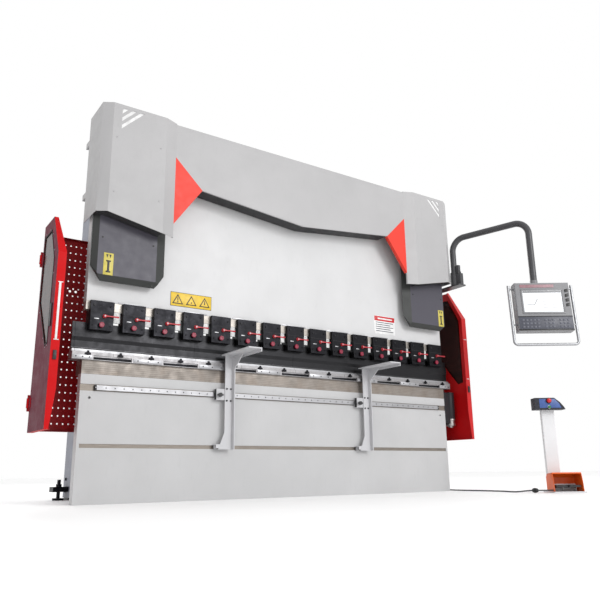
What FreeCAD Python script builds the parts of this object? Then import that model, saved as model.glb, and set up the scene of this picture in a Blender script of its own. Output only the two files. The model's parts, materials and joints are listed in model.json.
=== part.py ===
import FreeCAD, Part
import math
import os

# Hydraulic press brake, 3.2 m bending length, in millimetres.
# +X is to the operator's right, +Y to the back, +Z up.
# Origin: centre of the bed plate's bottom face, so y = 0 is also the bending line.
# Right-hand pieces are built first and mirrored in x = 0 for the left-hand ones.

Vec = FreeCAD.Vector
ORIGIN = Vec(0, 0, 0)
X_AXIS = Vec(1, 0, 0)
Z_AXIS = Vec(0, 0, 1)

# ---------------------------------------------------------------- driving sizes
# bed and table
bed_length = 3100
bed_height = 763
plate_thick = 60
table_height = 85
table_depth = 120
strip_z = 335            # milled strip that the arm rollers run on
strip_height = 24
strip_end = 18
band_height = 41         # milled band that seats the arm rail
mill_depth = 4
bed_hole_radius = 8
bed_hole_depth = 25
bed_hole_inset = 60

# tooling
tool_overhang = 66       # tooling beyond each end of the bed
die_holder_height = 48
die_holder_depth = 94
die_channel_floor = 12
die_width = 60
die_top_above_holder = 17
vee_half_width = 8
die_slot_length = 245
die_slot_height = 26
die_slot_depth = 8
die_slot_pitch = 455
die_screw_pitch = 203
die_screw_radius = 17
tip_gap = 2
punch_height = 120
punch_half_width = 15
blade_half_width = 8
tang_half_width = 7
tang_height = 50

# tool clamps
clamp_count = 15
clamp_width = 150
clamp_end = 22            # from the ram's end to the first clamp
clamp_plate_thick = 20
clamp_front_gap = 26      # from the ram's face to the clamp plates' face
holder_height = 130       # from the punch shoulder to the ram's underside
lip_height = 56           # ram bar that the holders hook over
lever_radius = 12
lever_reach = 88
knob_radius = 16.5
knob_length = 20

# frame
frame_inset = 250         # from the bed's end to the side frame's inner face
frame_thick = 50
frame_rear = 920
frame_foot = 16
jaw_front = 125
throat_back = 430
throat_rise = 687         # from the bed's top to the throat's top
throat_radius = 70
frame_rise = 1000         # from the throat's top to the frame's top
lifting_hole_radius = 35
lifting_hole_inset = 120
tie_thick = 40
lower_tie_y = 200
upper_tie_y = 300
foot_pad_radius = 38
foot_screw_radius = 12
anchor_radius = 9

# ram
stroke = 150
ram_shoulder_rise = 400   # above the throat's top
ram_top_rise = 800
ram_bar_step = 2
guide_gap = 0.5
guide_height = 140
scale_length = 270

# cylinders
cylinder_y = 20
cylinder_radius = 105
bore_radius = 80
gland_height = 40
cylinder_cap = 20
piston_rod_radius = 45
piston_height = 40
running_gap = 0.06

# tank and power pack
tank_wall = 6
tank_rise = 350           # above the throat's top
tank_height = 400
tank_front = 345
tank_rear = 800
tank_y = 570
motor_radius = 100
manifold_x = 450
manifold_half = 90
manifold_height = 120
pipe_radius = 12
pipe_bend = 50

# covers
sheet = 3
cover_front = -215
cover_width = 520
cover_outer_bevel = 37
cover_inner_bevel = 38
cover_back = 79
cover_lip = 15
cover_rise = 70           # above the frame's top
slot_pitch = 54
slot_width = 28
ram_cover_front = -118
ram_cover_back = -85
ram_cover_outer_bevel = 35
ram_cover_inner_bevel = 68
ram_cover_low_bevel = 36
ram_cover_corner_x = 65
ram_cover_corner_z = 92

# support arms and their rail
rail_end = 97
rail_height = 29
rail_depth = 18
rail_drop = 81.5          # from the bed's top to the rail's middle
rail_hole_pitch = 57
rail_hole_radius = 4
arm_width = 100
arm_reach = 380
arm_plate_thick = 8
arm_web = 6
arm_post_width = 62
arm_flange = 34
arm_left_x = -563
arm_right_x = 645
carriage_width = 125
carriage_height = 74
carriage_depth = 24
carriage_clear = 0.4
arm_knob_radius = 14
arm_stem_radius = 5
roller_radius = 13
roller_height = 22
roller_pin_radius = 5
roller_clear = 0.3

# side guards
guard_front = -144
guard_back = 262
guard_drop = 343          # from the bed's top down to the guard's lower edge
guard_height = 1330
guard_chamfer_y = 30
guard_chamfer_height = 280
guard_flange = 50
screen_y = 270
hole_pitch_x = 35
hole_pitch_z = 49
hole_radius = 5
window_hole_radius = 8     # two larger holes in each screen
screen_lower = 50         # from the guard's top down to the screen's
guard_pin_radius = 6
guard_sleeve_radius = 10
guard_hinge_length = 60
hinge_gap = 1
window_lap = 12
window_thick = 4

# pendant control
post_y = -170
tube_radius = 27
tube_bend = 120
arm_rise = 446            # from the bracket to the arm's level run
pendant_drop = 549        # from the arm's level run to the case
pendant_out = 180
pendant_forward = 680
bracket_thick = 12
socket_height = 100
socket_wall = 11
spigot_radius = 16
pendant_turn = -34        # degrees about +Z, the operator's side of the box
pendant_lean = 4
case_width = 442
case_height = 412
case_depth = 90
case_offset = 40
keypad_height = 120
screen_width = 316
screen_height = 182
screen_down = 77
screen_shift = 4
handle_radius = 11
handle_gap = 24
handle_drop = 104

# foot stand
stand_out = 132           # from the bed's end
stand_y = -1066
stand_turn = -34
base_depth = 225
base_left = -112
base_right = 120
base_thick = 8
hood_width = 214
hood_depth = 165
hood_height = 134
hood_sheet = 4
column_width = 100
column_depth = 34
column_x = -40
column_top = 604
console_width = 228
console_height = 88
console_depth = 90
button_stem_radius = 7
pedal_width = 84
pedal_depth = 110
pedal_thick = 12
pedal_gap = 12
pedal_pin_radius = 4
pedal_sleeve_radius = 9

# electric cabinet
cabinet_depth = 287
cabinet_y0 = 340
cabinet_y1 = 850
cabinet_drop = 63         # from the bed's top down to the cabinet's underside
cabinet_height = 900
cabinet_wall = 3
cabinet_pin_radius = 5
cabinet_hinge_out = 8
door_gap = 3

# back gauge
gauge_inset = 400         # from the side frame to the gauge's channel
gauge_drop = 123          # from the bed's top to the channel's underside
channel_width = 120
channel_height = 100
channel_wall = 10
channel_end = 12
screw_radius = 12.5
gauge_travel = 500
gauge_beam_y = 250
gauge_beam_depth = 80
gauge_beam_height = 70
gauge_beam_drop = 93      # from the die's top to the beam's underside
finger_x = 600
finger_tip_y = 110

# cable to the foot stand
cable_radius = 5
connector_radius = 18
connector_length = 44
gland_y = 215
gland_z = 96

# ---------------------------------------------------------------- worked out
half_bed = bed_length / 2
half_tool = half_bed + tool_overhang
tool_length = 2 * half_tool
bed_front = -plate_thick / 2
bed_back = plate_thick / 2
table_top_z = bed_height + table_height
holder_top_z = table_top_z + die_holder_height
die_top_z = holder_top_z + die_top_above_holder
punch_tip_z = die_top_z + tip_gap
punch_shoulder_z = punch_tip_z + punch_height
ram_bottom = punch_shoulder_z + holder_height
ram_paint_z = ram_bottom + lip_height
clamp_face = bed_front - clamp_front_gap
clamp_pitch = (bed_length - 2 * clamp_end - clamp_width) / (clamp_count - 1)

frame_inner = half_bed - frame_inset
frame_outer = frame_inner + frame_thick
throat_top = bed_height + throat_rise
frame_top = throat_top + frame_rise
ram_shoulder = throat_top + ram_shoulder_rise
ram_top = throat_top + ram_top_rise
cylinder_x = frame_inner - 25
cylinder_bottom = ram_shoulder + stroke + 80
cylinder_top = frame_top - 5
ram_neck_half = cylinder_x - cylinder_radius - 50

tank_low = throat_top + tank_rise
tank_high = tank_low + tank_height
tank_half = frame_inner - 400
pipe_z = frame_top + 30

cover_outer = half_bed + 25
cover_inner = cover_outer - cover_width
cover_face_outer = cover_outer - 64
cover_face_inner = cover_inner + 89
cover_top = frame_top + cover_rise
cover_low_outer = throat_top + 310
cover_low_inner = throat_top + 234
slot_left = cover_outer - 120
slot_first_z = cover_top - 174
slot_top = cover_top - 24
beam_face = cover_front + cover_inner_bevel
beam_cover_top = cover_top - 7
beam_kink_z = cover_top - 542
beam_corner_x = cover_inner - 205
beam_corner_z = cover_top - 452
accent_top = cover_top - 252
accent_bottom = cover_top - 739
ram_cover_outer = half_bed + 10
ram_cover_inner = cover_inner + 16
ram_cover_bottom = ram_paint_z + 119
ram_cover_top = cylinder_bottom - stroke - 30

rail_half = half_bed - rail_end
rail_z = bed_height - rail_drop
rail_back = bed_front + mill_depth
rail_face = rail_back - rail_depth
arm_front = rail_face - carriage_depth
arm_top = table_top_z + 107
arm_bottom = strip_z - 15
roller_y = rail_back - roller_radius - roller_clear

guard_face = half_bed + 217
guard_low = bed_height - guard_drop
guard_high = guard_low + guard_height
guard_chamfer_z = guard_high - guard_chamfer_height
screen_top = guard_high - screen_lower
window_hole_places = ((half_bed - 11, guard_low + 924), (half_bed + 27, guard_low + 924))
guard_hinge_x = guard_face + 6
guard_hinge_y = screen_y + 8
guard_hinge_heights = (guard_low + 150, guard_high - 250)
window_outline = [
    (guard_back - 27, guard_low + 810),
    (guard_back - 27, guard_high - 82),
    (guard_chamfer_y + 30, guard_high - 82),
    (guard_front + 89, guard_high - 290),
    (guard_front + 89, guard_low + 505),
    (guard_front + 144, guard_low + 495),
]

post_x = half_bed + 90
bracket_z = cover_low_outer - 20
arm_run_height = bracket_z + arm_rise
pendant_x = post_x + pendant_out
pendant_y = post_y - pendant_forward
pendant_top = arm_run_height - pendant_drop
screen_x0 = case_offset - screen_width / 2 - screen_shift

stand_x = half_bed + stand_out
pedal_axis_y = hood_depth - 34
pedal_axis_z = base_thick + 34
console_back = hood_depth + 2 + column_depth + 8
console_face = console_back - console_depth
estop_z = column_top + console_height - 22
button_z = column_top + 18

cabinet_x0 = frame_outer + 3
cabinet_x1 = cabinet_x0 + cabinet_depth
cabinet_z0 = bed_height - cabinet_drop
cabinet_z1 = cabinet_z0 + cabinet_height
cabinet_hinge_x = cabinet_x1 + cabinet_hinge_out
cabinet_hinge_y = cabinet_y1 + cabinet_hinge_out
cabinet_hinge_heights = (cabinet_z0 + 150, cabinet_z1 - 200)

gauge_x = frame_inner - gauge_inset
gauge_z = bed_height - gauge_drop
screw_z = gauge_z + channel_height / 2 + 6
gauge_beam_z = die_top_z - gauge_beam_drop
gauge_beam_half = frame_inner - 200
channel_back = gauge_beam_y + gauge_beam_depth + gauge_travel + 50
parts = {}


# ---------------------------------------------------------------- helpers
def box(x0, x1, y0, y1, z0, z1):
    return Part.makeBox(x1 - x0, y1 - y0, z1 - z0, Vec(x0, y0, z0))


def bar(start, end, radius):
    axis = end.sub(start)
    return Part.makeCylinder(radius, axis.Length, start, axis)


def face_of(points):
    return Part.Face(Part.makePolygon(points + [points[0]]))


def prism_xy(outline, z0, z1):
    return face_of([Vec(x, y, z0) for x, y in outline]).extrude(Vec(0, 0, z1 - z0))


def prism_xz(outline, y0, y1):
    return face_of([Vec(x, y0, z) for x, z in outline]).extrude(Vec(0, y1 - y0, 0))


def prism_yz(outline, x0, x1):
    return face_of([Vec(x0, y, z) for y, z in outline]).extrude(Vec(x1 - x0, 0, 0))


def joined(shapes):
    return shapes[0].fuse(shapes[1:]).removeSplitter()


def cut(shape, tools):
    return shape.cut(Part.makeCompound(tools))


def mirrored(shape):
    return shape.mirror(ORIGIN, X_AXIS)


def both_sides(shape):
    return Part.makeCompound([shape, mirrored(shape)])


def rounded(shape, radius, wanted):
    edges = [edge for edge in shape.Edges if wanted(edge)]
    return shape.makeFillet(radius, edges)


def upright(edge):
    return abs(edge.tangentAt(edge.FirstParameter).z) > 0.999


def bend_path(points, bends):
    """Straight runs joined by tangent arcs, with one bend radius per inner point."""
    edges = []
    last = points[0]
    for index in range(1, len(points) - 1):
        here = points[index]
        into = here.sub(points[index - 1]).normalize()
        away = points[index + 1].sub(here).normalize()
        half_turn = into.getAngle(away) / 2
        trim = bends[index - 1] * math.tan(half_turn)
        arc_start = here - into * trim
        arc_end = here + away * trim
        inward = (away - into).normalize()
        sag = bends[index - 1] * (1 / math.cos(half_turn) - 1)
        edges.append(Part.LineSegment(last, arc_start).toShape())
        edges.append(Part.Arc(arc_start, here + inward * sag, arc_end).toShape())
        last = arc_end
    edges.append(Part.LineSegment(last, points[-1]).toShape())
    return Part.Wire(edges)


def tube(points, bends, radius):
    path = bend_path(points, bends)
    direction = points[1].sub(points[0])
    ring = Part.Wire([Part.makeCircle(radius, points[0], direction)])
    return path.makePipeShell([ring], True, False)


def turned(shape, x, y, z, degrees):
    """Moves a piece drawn about its own origin to its place, turned about +Z."""
    placed = shape.copy()
    placed.rotate(ORIGIN, Z_AXIS, degrees)
    placed.translate(Vec(x, y, z))
    return placed


# ---------------------------------------------------------------- frame and bed
def side_frame():
    outline = [
        (bed_back, frame_foot),
        (frame_rear, frame_foot),
        (frame_rear, frame_top),
        (jaw_front, frame_top),
        (jaw_front, throat_top),
        (throat_back, throat_top),
        (throat_back, bed_height),
        (bed_back, bed_height),
    ]
    plate = prism_yz(outline, frame_inner, frame_outer)

    def throat_corner(edge):
        middle = edge.CenterOfMass
        along_x = abs(edge.tangentAt(edge.FirstParameter).x) > 0.999
        return along_x and abs(middle.y - throat_back) < 1 and middle.z < throat_top + 1

    plate = rounded(plate, throat_radius, throat_corner)
    hole_y = frame_rear - lifting_hole_inset
    hole_z = frame_top - lifting_hole_inset
    hole = bar(Vec(frame_inner - 1, hole_y, hole_z), Vec(frame_outer + 1, hole_y, hole_z), lifting_hole_radius)
    return plate.cut(hole)


def bed_plate():
    plate = box(-half_bed, half_bed, bed_front, bed_back, 0, bed_height)
    strip = box(-half_bed + strip_end, half_bed - strip_end, bed_front - 1, bed_front + mill_depth,
                strip_z - strip_height / 2, strip_z + strip_height / 2)
    band = box(-half_bed - 1, half_bed + 1, bed_front - 1, rail_back,
               rail_z - band_height / 2, rail_z + band_height / 2)
    holes = []
    for x in (bed_hole_inset - half_bed, half_bed - bed_hole_inset):
        mouth = Vec(x, bed_front - 1, rail_z - 1.5 * band_height)
        holes.append(bar(mouth, mouth + Vec(0, bed_hole_depth, 0), bed_hole_radius))
    return cut(plate, [strip, band] + holes)


def frame_ties():
    wide = frame_inner
    lower = box(-wide, wide, lower_tie_y, lower_tie_y + tie_thick, 60, bed_height - 180)
    rear = box(-wide, wide, frame_rear - 90, frame_rear - 30, frame_foot + 24, 180)
    upper = box(-wide, wide, upper_tie_y, upper_tie_y + tie_thick, throat_top + 250, frame_top)
    neck = box(-wide + 250, wide - 250, upper_tie_y, upper_tie_y + tie_thick, frame_top, beam_cover_top - sheet)
    return Part.makeCompound([lower, rear, joined([upper, neck])])


def levelling_feet():
    """Rear lug, levelling screw and floor pad of one side, as three solids."""
    lug_y = frame_rear - 90
    lug = box(frame_outer, frame_outer + 105, lug_y - 50, lug_y + 50, 56, 90)
    screw_x = frame_outer + 55
    screw = bar(Vec(screw_x, lug_y, 14), Vec(screw_x, lug_y, 138), foot_screw_radius)
    lug = lug.cut(bar(Vec(screw_x, lug_y, 0), Vec(screw_x, lug_y, 200), foot_screw_radius))
    anchor_x = screw_x + 30
    anchor_y = lug_y + 28
    lug = lug.cut(bar(Vec(anchor_x, anchor_y, 0), Vec(anchor_x, anchor_y, 200), anchor_radius))
    nut = bar(Vec(screw_x, lug_y, 90), Vec(screw_x, lug_y, 108), 19).cut(screw)
    pad = bar(Vec(screw_x, lug_y, 0), Vec(screw_x, lug_y, 14), foot_pad_radius)
    frame_pad = box(frame_inner, frame_outer, lug_y - 60, lug_y + 60, 0, frame_foot)
    return [lug, screw, nut, pad, frame_pad]


def arm_rail():
    low = rail_z - rail_height / 2
    high = rail_z + rail_height / 2
    mid = (rail_face + rail_back) / 2
    notch = 4
    outline = [
        (rail_back, low),
        (mid + notch, low),
        (mid, low + notch),
        (mid - notch, low),
        (rail_face, low),
        (rail_face, high),
        (mid - notch, high),
        (mid, high - notch),
        (mid + notch, high),
        (rail_back, high),
    ]
    rail = prism_yz(outline, -rail_half, rail_half)
    holes = []
    count = int(2 * rail_half / rail_hole_pitch)
    first = -(count - 1) * rail_hole_pitch / 2
    for index in range(count):
        mouth = Vec(first + index * rail_hole_pitch, rail_face - 1, rail_z)
        holes.append(bar(mouth, mouth + Vec(0, 7, 0), rail_hole_radius))
    return cut(rail, holes)


# ---------------------------------------------------------------- tooling
def table():
    return box(-half_bed, half_bed, bed_front, bed_front + table_depth, bed_height, table_top_z)


def slot_centres():
    count = int(tool_length / die_slot_pitch)
    first = -(count - 1) * die_slot_pitch / 2
    return [first + index * die_slot_pitch for index in range(count)]


def die_holder():
    half = die_holder_depth / 2
    holder = box(-half_tool, half_tool, -half, half, table_top_z, holder_top_z)
    channel = box(-half_tool - 1, half_tool + 1, -die_width / 2, die_width / 2,
                  table_top_z + die_channel_floor, holder_top_z + 1)
    slots = []
    for x in slot_centres():
        slots.append(box(x - die_slot_length / 2, x + die_slot_length / 2, -half - 1, -half + die_slot_depth,
                         table_top_z + 2, table_top_z + 2 + die_slot_height))
    return cut(holder, [channel] + slots)


def lower_die():
    half = die_width / 2
    floor = table_top_z + die_channel_floor
    outline = [
        (-half, floor),
        (half, floor),
        (half, die_top_z),
        (vee_half_width, die_top_z),
        (0, die_top_z - vee_half_width),
        (-vee_half_width, die_top_z),
        (-half, die_top_z),
    ]
    return prism_yz(outline, -half_tool, half_tool)


def die_clamp_screws():
    face = -die_holder_depth / 2
    z = holder_top_z - 11
    count = int(tool_length / die_screw_pitch) + 1
    first = -(count - 1) * die_screw_pitch / 2
    screws = []
    for index in range(count):
        x = first + index * die_screw_pitch
        head = bar(Vec(x, face, z), Vec(x, face - 10, z), die_screw_radius * 0.6)
        foot = box(x - die_screw_radius, x + die_screw_radius, face - 8, face, z - 8, z + 4)
        spade = box(x - 6, x + 6, face - 8, face, z, holder_top_z + 6)
        screws.append(joined([foot, head, spade]))
    return Part.makeCompound(screws)


def crowning_motor():
    """Gear box, upright motor and its end cap, bolted to the table's right end."""
    x = half_bed
    y = 45
    gear = joined([
        box(x, x + 92, y - 46, y + 46, table_top_z - 290, table_top_z - 25),
        bar(Vec(x + 92, y, table_top_z - 60), Vec(x + 118, y, table_top_z - 60), 30),
    ])
    motor = bar(Vec(x + 140, y, table_top_z - 250), Vec(x + 140, y, table_top_z - 20), 44)
    neck = box(x + 92, x + 130, y - 30, y + 30, table_top_z - 230, table_top_z - 120)
    base = table_top_z - 250
    cap = joined([
        bar(Vec(x + 140, y, base - 58), Vec(x + 140, y, base), 40),
        bar(Vec(x + 140, y, base - 70), Vec(x + 140, y, base - 58), 22),
    ])
    return Part.makeCompound([joined([gear, neck, motor]), cap])


def punch():
    top = punch_shoulder_z + tang_height
    rise = blade_half_width
    shoulder_low = punch_tip_z + 52
    shoulder_high = punch_tip_z + 76
    half = [
        (blade_half_width, punch_tip_z + rise),
        (blade_half_width, shoulder_low),
        (punch_half_width, shoulder_high),
        (punch_half_width, punch_shoulder_z),
        (tang_half_width, punch_shoulder_z),
        (tang_half_width, top),
    ]
    other = [(-y, z) for y, z in reversed(half)]
    return prism_yz([(0, punch_tip_z)] + half + other, -half_tool, half_tool)


def clamp_starts():
    return [clamp_end - half_bed + index * clamp_pitch for index in range(clamp_count)]


def tool_clamps():
    """Holder blocks hooked over the ram's toe, each with its clamp plate, as separate solids."""
    body_front = clamp_face + clamp_plate_thick
    lip_low = ram_bottom - 15
    margin = 2
    blocks = []
    for x in clamp_starts():
        body = box(x, x + clamp_width, body_front, bed_back, punch_shoulder_z, ram_bottom)
        lip = box(x, x + clamp_width, clamp_face, bed_front, lip_low, ram_paint_z)
        slot = box(x - 1, x + clamp_width + 1, -tang_half_width, tang_half_width,
                   punch_shoulder_z - 1, punch_shoulder_z + tang_height)
        blocks.append(joined([body, lip]).cut(slot))
        blocks.append(box(x + margin, x + clamp_width - margin, clamp_face,
                          body_front, punch_shoulder_z, lip_low))
    return Part.makeCompound(blocks)


def clamp_levers():
    z = punch_shoulder_z + 90
    levers = []
    for x in clamp_starts():
        hub_x = x + 0.6 * clamp_width
        hub = bar(Vec(hub_x, clamp_face, z), Vec(hub_x, clamp_face - 16, z), lever_radius)
        grip = box(hub_x, hub_x + lever_reach, clamp_face - 15, clamp_face - 7, z - 6, z + 6)
        levers.append(joined([hub, grip]))
    return Part.makeCompound(levers)


def clamp_knobs():
    z = punch_shoulder_z + 32
    knobs = []
    for x in clamp_starts():
        knob_x = x + 0.48 * clamp_width
        knobs.append(bar(Vec(knob_x, clamp_face, z), Vec(knob_x, clamp_face - knob_length, z), knob_radius))
    return Part.makeCompound(knobs)


# ---------------------------------------------------------------- ram and drive
def ram():
    outline = [
        (-half_bed, ram_paint_z),
        (half_bed, ram_paint_z),
        (half_bed, ram_shoulder),
        (ram_neck_half, ram_shoulder),
        (ram_neck_half, ram_top),
        (-ram_neck_half, ram_top),
        (-ram_neck_half, ram_shoulder),
        (-half_bed, ram_shoulder),
    ]
    plate = prism_xz(outline, bed_front, bed_back)
    toe = box(-half_bed, half_bed, bed_front + ram_bar_step, bed_back - ram_bar_step, ram_bottom, ram_paint_z)
    return joined([plate, toe])


def linear_scale():
    low = throat_top + 10
    return box(frame_outer, frame_outer + 42, jaw_front + 10, jaw_front + 60, low, low + scale_length)


def ram_guides():
    """Guide blocks on the side frame, running on the back of the ram, and the position scale."""
    blocks = [linear_scale()]
    for low in (throat_top + 10, throat_top + 10 + 1.7 * guide_height):
        blocks.append(box(frame_inner - 10, frame_outer + 10, bed_back + guide_gap, jaw_front,
                          low, low + guide_height))
    return blocks


def cylinder():
    x = cylinder_x
    y = cylinder_y
    body = bar(Vec(x, y, cylinder_bottom), Vec(x, y, cylinder_top), cylinder_radius)
    seat = box(x - 115, x + 115, y + 70, jaw_front, cylinder_bottom + 20, cylinder_top - 20)
    bore_low = cylinder_bottom + gland_height
    bore = bar(Vec(x, y, bore_low), Vec(x, y, cylinder_top - cylinder_cap), bore_radius)
    gland = bar(Vec(x, y, cylinder_bottom - 1), Vec(x, y, bore_low + 1), piston_rod_radius + running_gap)
    return cut(joined([body, seat]), [bore, gland])


def piston_rod():
    x = cylinder_x
    y = cylinder_y
    piston_top = cylinder_top - cylinder_cap - stroke - 5
    rod = bar(Vec(x, y, ram_shoulder), Vec(x, y, piston_top), piston_rod_radius)
    piston = bar(Vec(x, y, piston_top - piston_height), Vec(x, y, piston_top), bore_radius - running_gap)
    return joined([rod, piston])


def oil_tank():
    wall = tank_wall
    shell = box(-tank_half, tank_half, tank_front, tank_rear, tank_low, tank_high - wall)
    inside = box(-tank_half + wall, tank_half - wall, tank_front + wall, tank_rear - wall,
                 tank_low + wall, tank_high)
    lid = box(-tank_half - 10, tank_half + 10, tank_front, tank_rear + 10, tank_high - wall, tank_high)
    filler_x = 200 - tank_half
    filler = bar(Vec(filler_x, tank_y, tank_high), Vec(filler_x, tank_y, tank_high + 60), 35)
    ledge = box(tank_half, frame_inner, tank_front + 150, tank_rear - 150, tank_low, tank_low + 40)
    return Part.makeCompound([shell.cut(inside), lid, filler, ledge, mirrored(ledge)])


def power_pack():
    """Electric motor with feet, coupling housing, pump and valve block on the tank lid."""
    axis_z = tank_high + 1.2 * motor_radius
    y = tank_y
    motor = joined([
        bar(Vec(-350, y, axis_z), Vec(40, y, axis_z), motor_radius),
        box(-300, -40, y - 90, y + 90, tank_high, axis_z - 60),
    ])
    coupling = bar(Vec(40, y, axis_z), Vec(120, y, axis_z), 70)
    pump = bar(Vec(120, y, axis_z), Vec(260, y, axis_z), 55)
    block = box(manifold_x - manifold_half, manifold_x + manifold_half, y - 80, y + 80,
                tank_high, tank_high + manifold_height)
    return Part.makeCompound([motor, coupling, pump, block] + hydraulic_pipes())


def hydraulic_pipes():
    """Pressure pipes from the valve block to the two cylinder caps."""
    low = tank_high + manifold_height
    pipes = []
    for side in (-1, 1):
        start_x = manifold_x + side * 45
        start_y = tank_y + side * 35
        points = [
            Vec(start_x, start_y, low),
            Vec(start_x, start_y, pipe_z),
            Vec(side * cylinder_x, start_y, pipe_z),
            Vec(side * cylinder_x, cylinder_y, pipe_z),
            Vec(side * cylinder_x, cylinder_y, cylinder_top),
        ]
        bends = [pipe_bend, pipe_bend, 20]
        pipes.append(tube(points, bends, pipe_radius))
    return pipes


# ---------------------------------------------------------------- covers
def column_cover_plan(inset, back):
    """Plan of the column cover, shrunk by the sheet for the hollow."""
    slope = inset * 0.6
    return [
        (cover_outer - inset, back),
        (cover_outer - inset, cover_front + cover_outer_bevel + slope),
        (cover_face_outer - slope, cover_front + inset),
        (cover_face_inner + slope, cover_front + inset),
        (cover_inner + inset, cover_front + cover_inner_bevel + slope),
        (cover_inner + inset, back),
    ]


def column_cover():
    shell = prism_xy(column_cover_plan(0, cover_back), cover_low_inner - 20, cover_top)
    hollow = prism_xy(column_cover_plan(sheet, cover_back + 1), cover_low_inner - 21, cover_top - sheet)
    open_side = box(cover_inner - 1, cover_inner + sheet + 1, cover_front + cover_inner_bevel + cover_lip,
                    cover_back + 1, cover_low_inner - 21, cover_top - sheet)
    slots = []
    for index in range(3):
        low = slot_first_z + index * slot_pitch
        rise = slot_top - low
        slots.append(prism_xz([
            (slot_left, low),
            (slot_left - rise, slot_top),
            (slot_left - rise + slot_width, slot_top),
            (slot_left, low + slot_width),
        ], cover_front - 1, cover_front + sheet + 1))
    below = prism_xz([
        (cover_outer + 1, cover_low_outer),
        (cover_face_outer, cover_low_outer),
        (cover_face_inner, cover_low_inner),
        (cover_inner - 1, cover_low_inner),
        (cover_inner - 1, cover_low_inner - 50),
        (cover_outer + 1, cover_low_inner - 50),
    ], cover_front - 1, cover_back + 100)
    shell = cut(shell.cut(hollow), slots + [below, open_side])
    brackets = []
    for low in (cover_top - 579, cover_top - 199):
        brackets.append(box(frame_outer + 50, cover_outer - 1, cover_back - 4, jaw_front + 25, low, low + 40))
        brackets.append(box(frame_outer, frame_outer + 51, jaw_front + 1, jaw_front + 25, low, low + 40))
    return joined([shell] + brackets)


def beam_cover():
    outline = [
        (-cover_inner, beam_cover_top),
        (cover_inner, beam_cover_top),
        (cover_inner, accent_top),
        (beam_corner_x, beam_corner_z),
        (0, beam_kink_z),
        (-beam_corner_x, beam_corner_z),
        (-cover_inner, accent_top),
    ]
    front = prism_xz(outline, beam_face, beam_face + sheet)
    roof = box(-cover_inner, cover_inner, beam_face, upper_tie_y + tie_thick,
               beam_cover_top - sheet, beam_cover_top)
    return joined([front, roof])


def accent_panels():
    panel = prism_xz([
        (cover_inner, accent_top),
        (beam_corner_x, beam_corner_z),
        (cover_inner, accent_bottom),
    ], beam_face, beam_face + sheet)
    return both_sides(panel)


def ram_cover_form(inset):
    """The lower cover's outer form, shrunk by the sheet for the hollow."""
    front = ram_cover_front + inset
    outer = ram_cover_outer - inset
    inner = ram_cover_inner + inset
    bottom = ram_cover_bottom + inset
    back = ram_cover_back + (1 if inset else 0)
    top = ram_cover_top + (1 if inset else 0)
    plan = prism_xy([
        (inner, back),
        (inner + ram_cover_inner_bevel, front),
        (outer - ram_cover_outer_bevel, front),
        (outer, back),
    ], bottom, top)
    elevation = prism_xz([
        (inner, bottom + ram_cover_corner_z),
        (inner + ram_cover_corner_x, bottom),
        (outer - ram_cover_corner_x, bottom),
        (outer, bottom + ram_cover_corner_z),
        (outer, top),
        (inner, top),
    ], front - 1, back + 1)
    section = prism_yz([
        (back, bottom),
        (front, bottom + ram_cover_low_bevel),
        (front, top),
        (back, top),
    ], inner, outer)
    return plan.common(elevation).common(section)


def ram_cover():
    """Dished sheet, open at the back, on four blocks that stand it off the ram."""
    shell = ram_cover_form(0).cut(ram_cover_form(sheet))
    blocks = []
    for x in (ram_cover_inner + 120, ram_cover_outer - 160):
        for z in (ram_cover_bottom + 80, ram_cover_top - 120):
            blocks.append(box(x, x + 50, ram_cover_front + 1, bed_front, z, z + 40))
    return joined([shell] + blocks)


# ---------------------------------------------------------------- support arms
def arm_carriage(x):
    """Slide block that hooks round the rail above and below."""
    low = rail_z - carriage_height / 2
    block = box(x - carriage_width / 2 - 30, x + carriage_width / 2 - 30, arm_front, bed_front - 2,
                low, low + carriage_height)
    gap = carriage_clear
    slot = box(x - carriage_width, x + carriage_width, rail_face - gap, bed_front,
               rail_z - rail_height / 2 - gap, rail_z + rail_height / 2 + gap)
    return block.cut(slot)


def arm_roller_place(x):
    return Vec(x - 82, roller_y, strip_z)


def arm_knob_place(x):
    return Vec(x - 72, arm_front, rail_z - 5)


def support_arm(x):
    half = arm_post_width / 2
    reach_end = bed_front - 15 - arm_reach
    deck = box(x - arm_width / 2, x + arm_width / 2, reach_end, bed_front - 20,
               arm_top - arm_plate_thick, arm_top)
    deck_lip = box(x + arm_width / 2 - arm_web, x + arm_width / 2, reach_end, bed_front - 20,
                   arm_top - 26, arm_top)
    post = box(x - half, x + half, arm_front - arm_web, arm_front, arm_bottom, arm_top)
    flange = box(x + half - arm_web, x + half, arm_front - arm_flange, arm_front, arm_bottom, arm_top)
    gusset = prism_yz([
        (arm_front, arm_top - arm_plate_thick),
        (arm_front - 150, arm_top - arm_plate_thick),
        (arm_front, arm_top - 120),
    ], x + half - arm_web, x + half)
    heel = prism_xz([
        (x - half, arm_bottom + 110),
        (x - half - 44, arm_bottom),
        (x - half, arm_bottom),
    ], arm_front - arm_web, arm_front)
    seat = arm_roller_place(x)
    shelf_low = strip_z + roller_height / 2 + 1
    shelf = box(seat.x - 16, x - half, arm_front, bed_front - 2, shelf_low, shelf_low + 6)
    shelf_web = box(seat.x - 10, x - half + 4, arm_front - arm_web, arm_front, strip_z - 8, shelf_low + 6)
    pin = bar(seat - Vec(0, 0, roller_height / 2 + 3), Vec(seat.x, seat.y, shelf_low), roller_pin_radius)
    solid = joined([deck, deck_lip, post, flange, gusset, heel, shelf, shelf_web, pin, arm_carriage(x)])
    stem_seat = arm_knob_place(x)
    return solid.cut(bar(stem_seat - Vec(0, 1, 0), stem_seat + Vec(0, 9, 0), arm_stem_radius + running_gap))


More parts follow.
